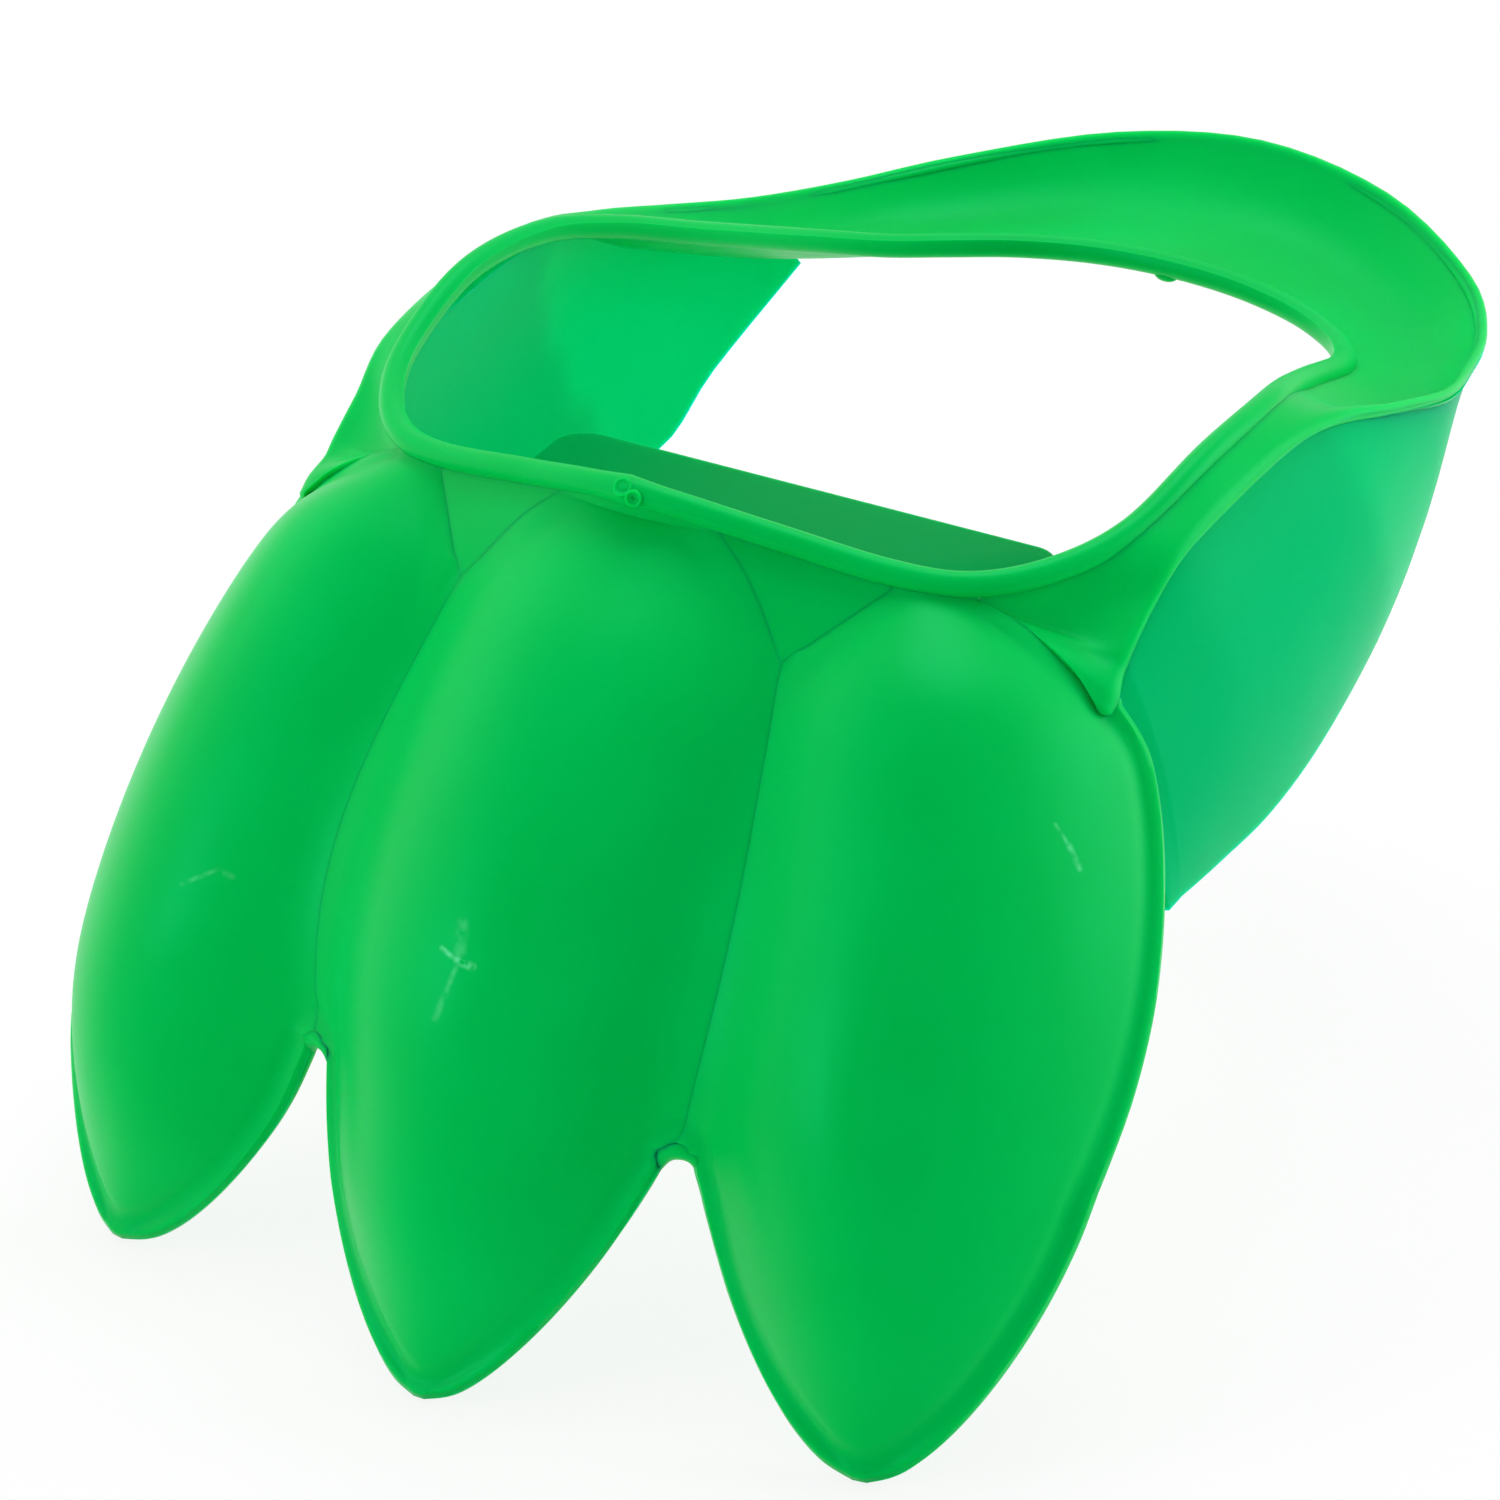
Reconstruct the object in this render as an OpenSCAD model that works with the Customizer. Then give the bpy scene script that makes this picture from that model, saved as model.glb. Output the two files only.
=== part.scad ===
// Hand-worn claw scoop for gathering leaves: three deep claws under an oval
// hand opening, with a wide wrist strap behind and a finger shelf inside.
// The front of the rim is at y = rim_front and the claw tips are at z = 0.

/* [Hand opening] */
// Width of the opening between the rim's centre lines
opening_w = 150; // [138:1:162]
// Length of the opening from the front rim to the strap
opening_l = 174; // [160:1:188]
// Height of the front rim above the claw tips
rim_h = 141; // [130:1:155]
// Diameter of the round bead on the rim
rim_bead_d = 4.4; // [3:0.2:6]

/* [Claws] */
// Depth of the valleys' upper ends below the rim
valley_drop = 22; // [18:1:26]
// Depth of the notches between the claws below the rim
notch_drop = 95; // [85:1:105]
// Distance of the valleys' upper ends from the middle plane
valley_x = 32; // [28:0.5:36]
// Distance of the notches from the middle plane
notch_x = 36.5; // [33:0.5:40]
// Reach of the notches in front of the rim
notch_reach = 40; // [34:1:46]
// Distance of the outer tips from the middle plane
tip_x = 76; // [70:1:82]
// Reach of the middle tip in front of the rim
tip_reach = 63; // [56:1:70]
// Reach of the outer tips in front of the rim
outer_tip_reach = 46; // [40:1:52]
// Greatest distance of the outer claws' edges from the middle plane
edge_x = 101; // [95:1:107]
// Height of a claw's crown over its edges, at the notches
crown = 23; // [18:0.5:27]

/* [Collar and strap] */
// Width of the strap at its middle
strap_w = 31; // [24:1:40]
// Width of the side bands where the opening is widest
band_w = 6.5; // [5.5:0.25:9]
// Depth of the channel between the two beads
channel = 2.5; // [0:0.25:4]
// Diameter of the bead on the outer edge
outer_bead_d = 3.6; // [2.6:0.2:5]

/* [Cheeks] */
// Depth of the cheeks' lower edge below the rim
cheek_drop = 60; // [50:1:70]
// Outward swell of the cheeks
cheek_swell = 5; // [0:0.5:9]

/* [Finger shelf] */
// Depth of the shelf's rear edge below the rim
shelf_drop = 20; // [16:0.5:24]
// Distance of the shelf's rear edge behind the rim
shelf_back = 57; // [48:1:64]
// Width of the shelf at its rear edge
shelf_w = 101; // [90:1:112]
// Corner radius of the shelf
shelf_r = 6; // [3:0.5:10]

/* [Walls] */
// Thickness of the moulded walls
wall = 2; // [1.4:0.1:2.6]
// Thickness of the free edges' beads
edge_bead = 3.4; // [2.6:0.1:4.4]

/* [Hidden] */

// Steps along a claw: the arch under the rim, the valley and the free end
arch_steps = 4;
valley_steps = 7;
free_steps = 8;
// Steps across a claw, along a band or cheek between two guide points, and across them
claw_across = 13;
band_steps = 2;
band_across = 4;
cheek_across = 6;
bead_sides = 10;

rim_r = rim_bead_d / 2;
outer_r = outer_bead_d / 2;
// The claws stand on a fan around this axis behind the rim
fan_y = 145;
// Crown of the claws at the rim and at the valleys' upper ends
crown_rim = 2;
crown_top = 17;
// Reach of the valleys' upper ends in front of the rim, and their sideways bow
valley_reach = 3;
valley_bow = 4.2;
// A claw's free edges stop just short of the tip, where they meet
tip_stop = 0.98;
// Running gap between pieces that only lie against each other
seat = 0.1;

function unit(v) = v / norm(v);
function mix(a, b, t) = a + (b - a) * t;
function flip(p) = [-p.x, p.y, p.z];
function flip_all(list) = [for (p = list) flip(p)];
function reverse(list) = [for (i = [len(list) - 1:-1:0]) list[i]];
// Point of a cubic curve with four guide points
function cubic(g, t) =
  g[0] * pow(1 - t, 3) + 3 * g[1] * t * pow(1 - t, 2) + 3 * g[2] * t * t * (1 - t) + g[3] * pow(t, 3);
function cubic_steps(g, n, t_end = 1) = [for (i = [0:n]) cubic(g, t_end * i / n)];
// Smooth curve through guide points, with n steps between neighbours. An end that lies
// on the middle plane runs straight across it, as its mirror image goes on from there.
function past(end, near) = abs(end.x) < seat ? flip(near) : end;
function through(g, i, t) =
  let (
    last = len(g) - 1,
    a = i == 0 ? past(g[0], g[1]) : g[i - 1],
    b = g[i],
    c = g[i + 1],
    d = i + 1 == last ? past(g[last], g[last - 1]) : g[i + 2]
  )
  (2 * b + (c - a) * t + (2 * a - 5 * b + 4 * c - d) * t * t + (3 * b - a - 3 * c + d) * pow(t, 3)) / 2;
function spline(g, n) =
  concat([for (i = [0:len(g) - 2], k = [0:n - 1]) through(g, i, k / n)], [g[len(g) - 1]]);
// Direction of a path at one of its points
function along(path, i) = unit(path[min(i + 1, len(path) - 1)] - path[max(i - 1, 0)]);

// Outward direction of the front wall, which leans forward under the collar
function lean(z) = lookup(z, [
  [-notch_drop, 0],
  [-mix(valley_drop, notch_drop, 0.6), 22],
  [-mix(valley_drop, notch_drop, 0.25), 39],
  [-mix(valley_drop, notch_drop, 0.1), 42],
  [-valley_drop, 30],
  [-valley_drop / 2, 0]
]);
function outward(p) =
  let (r = unit([p.x, p.y - fan_y, 0]), a = lean(p.z))
  [r.x * cos(a), r.y * cos(a), sin(a)];

// Guide points on the right-hand side, from the opening's size and from its outer side
function rim_point(x, y, z) = [x * opening_w / 2, y * opening_l, z];
side_x = opening_w / 2 + band_w;
function side_point(x, y, z) = [side_x + x, y * opening_l, z];
// The collar's wedge, the valley and the tips
wedge = side_point(-1.5, 0.1034, -27);
valley_top = [valley_x, -valley_reach, -valley_drop];
notch = [notch_x, -notch_reach, -notch_drop];
edge_low = [edge_x, -15, -notch_drop];
middle_tip = [0, -tip_reach, -rim_h];
outer_tip = [tip_x, -outer_tip_reach, -rim_h];

function valley(t) = [
  mix(valley_x, notch_x, t) + valley_bow * sin(180 * t),
  -mix(valley_reach, notch_reach, sin(90 * t)),
  -mix(valley_drop, notch_drop, t)
];
valley_path = [for (i = [0:valley_steps]) valley(i / valley_steps)];
middle_arch = cubic_steps(
  [rim_point(0.213, 0.017, -5), rim_point(0.32, 0.006, -10), rim_point(0.373, -0.003, -18), valley_top],
  arch_steps);
inner_arch = cubic_steps(
  [rim_point(0.6, 0.0575, -10.7), rim_point(0.533, 0.029, -15), rim_point(0.48, 0, -19), valley_top],
  arch_steps);
outer_arch = cubic_steps(
  [rim_point(0.773, 0.092, -11.5), rim_point(0.893, 0.109, -15), rim_point(1, 0.115, -21), wedge],
  arch_steps);
outer_edge = cubic_steps(
  [wedge, side_point(10.5, 0.138, -42), [edge_x + 2, 10, -66], edge_low],
  valley_steps);
middle_free = cubic_steps(
  [notch, [28, -49, -notch_drop - 20], [12, -tip_reach, -rim_h], middle_tip], free_steps, tip_stop);
inner_free = cubic_steps(
  [notch, [44, -42, -notch_drop - 17], [tip_x - 16, -48, -rim_h], outer_tip], free_steps, tip_stop);
outer_free = cubic_steps(
  [edge_low, [edge_x - 1.5, -24, -notch_drop - 18], [tip_x + 12, -43, -rim_h], outer_tip],
  free_steps, tip_stop);

function tail(list) = [for (i = [1:len(list) - 1]) list[i]];
function edge(arch, middle, free) = concat(arch, tail(middle), tail(free));
middle_edge = edge(middle_arch, valley_path, middle_free);
inner_edge = edge(inner_arch, valley_path, inner_free);
outer_edge_all = edge(outer_arch, outer_edge, outer_free);

// Crown height at each step of a claw, falling with the square of the width at the free end
function crown_at(i, width, notch_width) =
  i <= arch_steps ? mix(crown_rim, crown_top, i / arch_steps)
  : i <= arch_steps + valley_steps ? mix(crown_top, crown, (i - arch_steps) / valley_steps)
  : crown * pow(width / notch_width, 2);

// One closed section of a claw between its left point a and its right point b.
// An edge that is shared with a neighbour has the wall's own direction there.
function claw_section(a, b, rise, left_free, right_free) =
  let (
    across = unit(b - a),
    half = norm(b - a) / 2,
    out = outward((a + b) / 2),
    steps = [for (k = [0:claw_across]) 2 * k / claw_across - 1],
    face = [for (s = steps) mix(a, b, (s + 1) / 2) + out * rise * (1 - s * s)],
    local = [for (s = steps) unit(out * half + across * 2 * rise * s)],
    dirs = [for (k = [0:claw_across])
      k == 0 && !left_free ? outward(a) : k == claw_across && !right_free ? outward(b) : local[k]],
    lip = [for (k = [0:claw_across])
      (k == 0 && left_free) || (k == claw_across && right_free) ? (edge_bead - wall) / 2 : 0]
  )
  concat(
    [for (k = [0:claw_across]) face[k] - dirs[k] * (wall + lip[k])],
    [for (k = [claw_across:-1:0]) face[k] + dirs[k] * lip[k]]
  );

function claw_sections(left, right, left_joined, right_joined) =
  let (notch_at = arch_steps + valley_steps, notch_width = norm(right[notch_at] - left[notch_at]))
  [for (i = [0:len(left) - 1])
    claw_section(left[i], right[i], crown_at(i, norm(right[i] - left[i]), notch_width),
      i > left_joined, i > right_joined)];

middle_sections = claw_sections(
  flip_all(middle_edge), middle_edge, arch_steps + valley_steps, arch_steps + valley_steps);
outer_sections = claw_sections(inner_edge, outer_edge_all, arch_steps + valley_steps, arch_steps);

// Rim of the hand opening, right-hand half from the front to the back
rim_guides = [
  rim_point(0, 0, 0), rim_point(0.32, 0.03, -4), rim_point(0.59, 0.062, -8), rim_point(0.76, 0.092, -9),
  rim_point(0.89, 0.15, -7.5), rim_point(0.973, 0.23, -4), rim_point(1, 0.345, 2.5),
  rim_point(0.98, 0.46, 3.5), rim_point(0.92, 0.552, 0.5), rim_point(0.833, 0.66, -5.5),
  rim_point(0.733, 0.805, -13.5), rim_point(0.64, 0.885, -17.5), rim_point(0.533, 0.937, -18.7),
  rim_point(0.387, 0.974, -18.5), rim_point(0.2, 0.994, -17.8), rim_point(0, 1, -17.5)
];
rim_half = spline(rim_guides, band_steps);
rim_path = concat(rim_half, reverse(flip_all([for (i = [1:len(rim_half) - 2]) rim_half[i]])));

// Outer edge of the collar, from behind the wedge to the middle of the strap's back edge
outer_guides = [
  side_point(-0.8, 0.155, -17.5), side_point(-0.7, 0.1925, -12), side_point(-0.5, 0.247, -6),
  side_point(0, 0.333, -2.5), side_point(-0.1, 0.448, 1), side_point(0.1, 0.552, 0.5),
  side_point(0.3, 0.65, -3), side_point(-1.5, 0.764, -8), side_point(-7.5, 0.865, -11.2),
  [0.81 * side_x, opening_l - 4, -12.8], [0.65 * side_x, opening_l + 13, -11],
  [0.344 * side_x, opening_l + strap_w - 3.5, -6], [0, opening_l + strap_w, -3]
];
wedge_outer = cubic_steps(
  [wedge, side_point(-0.5, 0.121, -24), side_point(-0.8, 0.138, -21), outer_guides[0]], arch_steps);
// Inner edge of the collar beside it: the outer claw's arch, then the rim
inner_guides = concat([outer_arch[0]], [for (i = [4:len(rim_guides) - 1]) rim_guides[i]]);
inner_path = concat(reverse(outer_arch), tail(spline(inner_guides, band_steps)));
outer_path = concat(wedge_outer, tail(spline(outer_guides, band_steps)));
// The strap begins at this guide point
strap_from = 8;
// Direction of a half collar's edge, which ends straight across the middle plane
function edge_run(path, i) = i == len(path) - 1 ? [-1, 0, 0] : along(path, i);
// Length to go in direction w to get clear of a bead of radius r that runs along t
function beside(w, t, r) = (r + seat) / norm(cross(w, t));
// Clearance of a band from the claw's arch beside it
arch_gap = 0.3;
function band_section(i) =
  let (
    a = inner_path[i],
    b = outer_path[i],
    w = unit(b - a),
    n = unit(cross(w, edge_run(outer_path, i))),
    on_rim = max(0, min(1, (i - arch_steps) / band_steps)),
    start = a + w * beside(w, edge_run(inner_path, i), mix(arch_gap, rim_r, on_rim)),
    stop = b - w * beside(w, edge_run(outer_path, i), outer_r),
    sag = channel * min(1, i / (arch_steps + band_steps)),
    steps = [for (k = [0:band_across]) k / band_across],
    mid = [for (u = steps) mix(start, stop, u) - n * sag * 4 * u * (1 - u)]
  )
  concat([for (p = mid) p + n * wall / 2], [for (p = reverse(mid)) p - n * wall / 2]);
band_end = arch_steps + strap_from * band_steps;
band_sections = [for (i = [1:band_end]) band_section(i)];
half_strap = [for (i = [band_end:len(outer_path) - 1]) band_section(i)];
strap_sections = concat(half_strap, [for (s = tail(reverse(half_strap))) flip_all(s)]);

// Clearance of a cheek from the claw's edge in front of it and the bead above it
cheek_gap = 1;
// Free lower edge of a cheek, one guide point below each of the outer edge's
cheek_guides = [
  [edge_x - 9, 26, -cheek_drop], [edge_x - 10, 33, -cheek_drop - 0.5], [edge_x - 11.5, 44, -cheek_drop - 1],
  side_point(6.5, 0.345, -cheek_drop - 0.5), side_point(4.5, 0.4425, 2 - cheek_drop),
  side_point(1, 0.552, 5.5 - cheek_drop), side_point(-5.6, 0.687, 7.6 - cheek_drop),
  side_point(-7.5, 0.776, 18.5 - cheek_drop), side_point(-13, 0.8966, 34 - cheek_drop)
];
cheek_front = [edge_x - 8, 20 + cheek_gap, -cheek_drop];
cheek_path = concat(
  [for (i = [0:arch_steps]) mix(cheek_front, cheek_guides[0], i / arch_steps)],
  tail(spline(cheek_guides, band_steps)));
function cheek_section(i) =
  let (
    top = outer_path[i] + (i == 0 ? [0, cheek_gap, 0] : [0, 0, 0]),
    w = unit(cheek_path[i] - top),
    n = unit(cross(w, along(cheek_path, i))),
    start = top + w * beside(w, along(outer_path, i), outer_r + cheek_gap / 2),
    swell = cheek_swell * min(1, pow(norm(cheek_path[i] - start) / cheek_drop, 2)),
    steps = [for (k = [0:cheek_across]) k / cheek_across],
    face = [for (u = steps) mix(start, cheek_path[i], u) + n * swell * 4 * u * (1 - u)],
    lip = [for (u = steps) u == 1 ? (edge_bead - wall) / 2 : 0]
  )
  concat(
    [for (k = [0:cheek_across]) face[k] + n * lip[k]],
    [for (k = [cheek_across:-1:0]) face[k] - n * (wall + lip[k])]
  );
cheek_sections = [for (i = [0:len(cheek_path) - 1]) cheek_section(i)];

function tube_section(path, i, r, closed = false) =
  let (
    last = len(path) - 1,
    before = closed ? path[(i + last) % (last + 1)] : path[max(i - 1, 0)],
    after = closed ? path[(i + 1) % (last + 1)] : path[min(i + 1, last)],
    t = unit(after - before),
    side = unit(cross(t, [0, 0, 1])),
    up = cross(t, side)
  )
  [for (k = [0:bead_sides - 1])
    path[i] + r * (side * cos(360 * k / bead_sides) + up * sin(360 * k / bead_sides))];

// Solid through a row of like sections; a closed row joins its last section to its first
module loft(sections, closed = false) {
  rows = len(sections);
  size = len(sections[0]);
  spans = closed ? rows : rows - 1;
  sides = [for (i = [0:spans - 1], j = [0:size - 1])
    let (a = i * size, b = ((i + 1) % rows) * size, k = (j + 1) % size)
    [[a + j, b + j, b + k], [a + j, b + k, a + k]]];
  caps = closed ? [] : [[for (j = [0:size - 1]) j], [for (j = [size - 1:-1:0]) (rows - 1) * size + j]];
  polyhedron([for (s = sections, p = s) p], concat([for (pair = sides, f = pair) f], caps));
}

// The part stands with its tips at z = 0 and its middle over the origin
front_y = min([for (s = middle_sections, p = s) p.y]);
back_y = opening_l + strap_w + outer_r;
low_z = min([for (s = concat(middle_sections, outer_sections), p = s) p.z]);
rim_front = -(front_y + back_y) / 2;
module placed() {
  translate([0, rim_front, -low_z]) children();
}

claw_green = [0, 0.72, 0.3];
cheek_green = [0.05, 0.76, 0.42];
strap_green = [0, 0.62, 0.24];

module outer_claw() {
  loft(outer_sections);
}
module left_claw() {
  color(claw_green) placed() mirror([1, 0, 0]) outer_claw();
}
module middle_claw() {
  color(claw_green) placed() loft(middle_sections);
}
module right_claw() {
  color(claw_green) placed() outer_claw();
}

// Flat web between two claws' arches, under the rim, ending just above the valley
gusset_stop = 0.93;
function gusset_edge(arch, i) = i < arch_steps ? arch[i] : mix(arch[i - 1], arch[i], gusset_stop);
module gusset() {
  loft([for (i = [0:arch_steps])
    let (a = gusset_edge(middle_arch, i) + [seat, 0, 0], b = gusset_edge(inner_arch, i) - [seat, 0, 0])
    [b, a, a - outward(a) * wall, b - outward(b) * wall]]);
}
module left_gusset() {
  color(claw_green) placed() mirror([1, 0, 0]) gusset();
}
module right_gusset() {
  color(claw_green) placed() gusset();
}

module rim_bead() {
  color(claw_green) placed()
    loft([for (i = [0:len(rim_path) - 1]) tube_section(rim_path, i, rim_r, true)], true);
}
module side_band() {
  loft(band_sections);
}
module left_band() {
  color(strap_green) placed() mirror([1, 0, 0]) side_band();
}
module right_band() {
  color(strap_green) placed() side_band();
}
module hand_strap() {
  color(strap_green) placed() loft(strap_sections);
}
outer_bead_path = concat(flip_all(outer_path), tail(reverse(outer_path)));
module outer_bead() {
  color(strap_green) placed()
    loft([for (i = [0:len(outer_bead_path) - 1]) tube_section(outer_bead_path, i, outer_r)]);
}
module cheek() {
  loft(cheek_sections);
}
module left_cheek() {
  color(cheek_green) placed() mirror([1, 0, 0]) cheek();
}
module right_cheek() {
  color(cheek_green) placed() cheek();
}

// Shelf that the fingers lie on, leaning down towards the claws and held between the valleys
shelf_lean = 5;
shelf_level = shelf_drop + shelf_back * tan(shelf_lean) + wall / 2;
ridge_at = valley((shelf_level - valley_drop) / (notch_drop - valley_drop));
ridge = ridge_at - outward(ridge_at) * wall;
shelf_side = [
  [shelf_w / 2 - 2.5, 22], [ridge.x + 8, ridge.y + 13], [ridge.x + 2, ridge.y + 3], [ridge.x, ridge.y + 0.5],
  [ridge.x - 2.5, ridge.y - 1.6], [ridge.x - 7.5, ridge.y - 7]
];
shelf_corner = [for (a = [0:15:90])
  [shelf_w / 2 - shelf_r + shelf_r * cos(a), shelf_back - shelf_r + shelf_r * sin(a)]];
shelf_half = concat(reverse(shelf_side), shelf_corner);
shelf_outline = concat(shelf_half, [for (p = reverse(shelf_half)) [-p.x, p.y]]);
module finger_shelf() {
  color(claw_green) placed()
    translate([0, shelf_back, -shelf_drop]) rotate([shelf_lean, 0, 0]) translate([0, -shelf_back, -wall])
      linear_extrude(wall) polygon(shelf_outline);
}

left_claw();
middle_claw();
right_claw();
left_gusset();
right_gusset();
rim_bead();
left_band();
right_band();
hand_strap();
outer_bead();
left_cheek();
right_cheek();
finger_shelf();
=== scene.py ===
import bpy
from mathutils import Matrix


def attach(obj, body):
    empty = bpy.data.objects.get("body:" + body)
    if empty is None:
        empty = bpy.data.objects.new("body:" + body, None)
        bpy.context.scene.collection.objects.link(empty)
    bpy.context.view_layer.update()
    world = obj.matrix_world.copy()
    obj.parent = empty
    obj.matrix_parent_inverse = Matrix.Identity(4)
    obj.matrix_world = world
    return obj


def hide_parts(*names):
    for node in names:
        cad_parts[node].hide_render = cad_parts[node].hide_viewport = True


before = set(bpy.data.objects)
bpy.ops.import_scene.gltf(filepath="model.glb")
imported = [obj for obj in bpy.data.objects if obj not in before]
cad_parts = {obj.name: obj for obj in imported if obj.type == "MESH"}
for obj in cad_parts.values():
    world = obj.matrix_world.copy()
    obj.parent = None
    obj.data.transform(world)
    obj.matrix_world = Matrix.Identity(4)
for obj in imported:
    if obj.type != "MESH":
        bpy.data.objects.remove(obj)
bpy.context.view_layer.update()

import math

import bpy
from mathutils import Matrix, Vector
from mathutils.kdtree import KDTree

bl_info = {
    "name": "Hand leaf scoop",
    "version": (1, 0, 0),
    "blender": (4, 5, 0),
    "location": "View3D > Sidebar > Scoop",
    "description": "Models a moulded hand scoop with three claws over its packed frame",
    "category": "Object",
}

BODY = "root"
MM = 0.001

# Place of the front rim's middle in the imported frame, in metres: the scoop's
# own points are measured from there, in millimetres.
RIM_PLACE = Vector((0.0, -0.0715584, 0.140969))


# Sizes and colours that a user would change

class ScoopSizes(bpy.types.PropertyGroup):
    opening_w: bpy.props.FloatProperty(
        name="Opening width", description="Width of the hand opening between the rim's centre lines",
        default=0.150, min=0.138, max=0.162, unit="LENGTH")
    opening_l: bpy.props.FloatProperty(
        name="Opening length", description="Length of the opening from the front rim to the strap",
        default=0.174, min=0.160, max=0.188, unit="LENGTH")
    strap_w: bpy.props.FloatProperty(
        name="Strap width", description="Width of the wrist strap at its middle",
        default=0.031, min=0.024, max=0.040, unit="LENGTH")
    band_w: bpy.props.FloatProperty(
        name="Band width", description="Width of the side bands where the opening is widest",
        default=0.0065, min=0.0055, max=0.009, unit="LENGTH")
    rim_bead_d: bpy.props.FloatProperty(
        name="Rim bead", description="Diameter of the round bead on the rim",
        default=0.0044, min=0.003, max=0.006, unit="LENGTH")
    outer_bead_d: bpy.props.FloatProperty(
        name="Outer bead", description="Diameter of the bead on the collar's outer edge",
        default=0.0036, min=0.0026, max=0.005, unit="LENGTH")
    edge_bead_d: bpy.props.FloatProperty(
        name="Claw edge bead", description="Diameter of the bead on the claws' free edges",
        default=0.0026, min=0.002, max=0.0034, unit="LENGTH")
    wall: bpy.props.FloatProperty(
        name="Wall", description="Thickness of the moulded walls",
        default=0.002, min=0.0014, max=0.0026, unit="LENGTH")
    crown: bpy.props.FloatProperty(
        name="Crown", description="Height of a claw's crown over its edges, at the notches",
        default=0.023, min=0.018, max=0.027, unit="LENGTH")
    channel: bpy.props.FloatProperty(
        name="Channel", description="Depth of the channel between the collar's two beads",
        default=0.0065, min=0.0, max=0.008, unit="LENGTH")
    cheek_swell: bpy.props.FloatProperty(
        name="Cheek swell", description="Outward swell of the cheeks",
        default=0.005, min=0.0, max=0.009, unit="LENGTH")
    gate_d: bpy.props.FloatProperty(
        name="Gate mark", description="Diameter of the moulding gate's round mark on the rim",
        default=0.0034, min=0.002, max=0.0042, unit="LENGTH")


def hex_linear(text):
    """Linear colour of an sRGB hex value."""
    parts = [int(text[i:i + 2], 16) / 255 for i in (1, 3, 5)]
    return [c / 12.92 if c <= 0.04045 else ((c + 0.055) / 1.055) ** 2.4 for c in parts]


class ScoopColours(bpy.types.PropertyGroup):
    body: bpy.props.FloatVectorProperty(
        name="Plastic", description="Colour of the dyed polypropylene in the claws", subtype="COLOR",
        default=hex_linear("#00CE60"), min=0.0, max=1.0)
    body_deep: bpy.props.FloatVectorProperty(
        name="Plastic, denser", description="Colour of the claws where the dye lies denser", subtype="COLOR",
        default=hex_linear("#00BE4A"), min=0.0, max=1.0)
    thin: bpy.props.FloatVectorProperty(
        name="Thin wall", description="Colour of the thin walls, which more light passes", subtype="COLOR",
        default=hex_linear("#00AE70"), min=0.0, max=1.0)
    thin_deep: bpy.props.FloatVectorProperty(
        name="Thin wall, denser", description="Colour of the thin walls where the dye lies denser",
        subtype="COLOR", default=hex_linear("#00A466"), min=0.0, max=1.0)
    # The shelf's colours are darker than the claws' as painted shade, since less light reaches the shelf;
    # their clouds are the dye's.
    inside: bpy.props.FloatVectorProperty(
        name="Shelf", description="Colour of the shelf, which less light reaches", subtype="COLOR",
        default=hex_linear("#00A04E"), min=0.0, max=1.0)
    inside_deep: bpy.props.FloatVectorProperty(
        name="Shelf, denser", description="Colour of the shelf where the dye lies denser", subtype="COLOR",
        default=hex_linear("#009444"), min=0.0, max=1.0)
    scuff: bpy.props.FloatVectorProperty(
        name="Scuffs", description="Pale colour of stressed plastic in scratches", subtype="COLOR",
        default=hex_linear("#78F0B8"), min=0.0, max=1.0)
    floor: bpy.props.FloatVectorProperty(
        name="Floor", description="Colour of the studio floor", subtype="COLOR",
        default=hex_linear("#FAFAFA"), min=0.0, max=1.0)


def sizes():
    return bpy.context.scene.scoop_sizes


def colours():
    return bpy.context.scene.scoop_colours


# Curves, in millimetres from the front rim's middle

def at(x, y, z):
    return Vector((x, y, z))


def mix(a, b, t):
    return a + (b - a) * t


def flip(p):
    return Vector((-p.x, p.y, p.z))


def flip_all(points):
    return [flip(p) for p in points]


def cubic(g, t):
    u = 1 - t
    return g[0] * u ** 3 + g[1] * (3 * t * u * u) + g[2] * (3 * t * t * u) + g[3] * t ** 3


def cubic_steps(g, n, t_end=1.0):
    return [cubic(g, t_end * i / n) for i in range(n + 1)]


def through(a, b, c, d, t):
    return (b * 2 + (c - a) * t + (a * 2 - b * 5 + c * 4 - d) * t * t + (b * 3 - a - c * 3 + d) * t ** 3) / 2


def spline_at(points, u, mirrored=(False, False)):
    """Point of the smooth curve through the points, u counted in points from the first.
    A mirrored end runs straight across the middle plane."""
    last = len(points) - 1
    i = min(int(u), last - 1)
    before = points[i - 1] if i else (flip(points[1]) if mirrored[0] else points[0])
    after = points[i + 2] if i + 2 <= last else (flip(points[last - 1]) if mirrored[1] else points[last])
    return through(before, points[i], points[i + 1], after, u - i)


def spline(points, per, mirrored=(False, False)):
    """Smooth curve through the points with `per` steps between neighbours."""
    return [spline_at(points, k / per, mirrored) for k in range((len(points) - 1) * per + 1)]


def smoothed(values, passes):
    """The values with each one drawn towards its neighbours, again and again; both ends stay."""
    for _ in range(passes):
        inner = [(a + b * 2 + c) / 4 for a, b, c in zip(values, values[1:], values[2:])]
        values = [values[0]] + inner + [values[-1]]
    return values


def ramp(x, low, high):
    """0 up to low, 1 from high on, and a soft step between."""
    t = min(1, max(0, (x - low) / (high - low)))
    return t * t * (3 - 2 * t)


def along(path, i):
    return (path[min(i + 1, len(path) - 1)] - path[max(i - 1, 0)]).normalized()


def round_end(r, way):
    """Half width of a round of radius r at a distance from its end, r itself further on."""
    return math.sqrt(max(0, r * r - (r - min(way, r)) ** 2))


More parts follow.
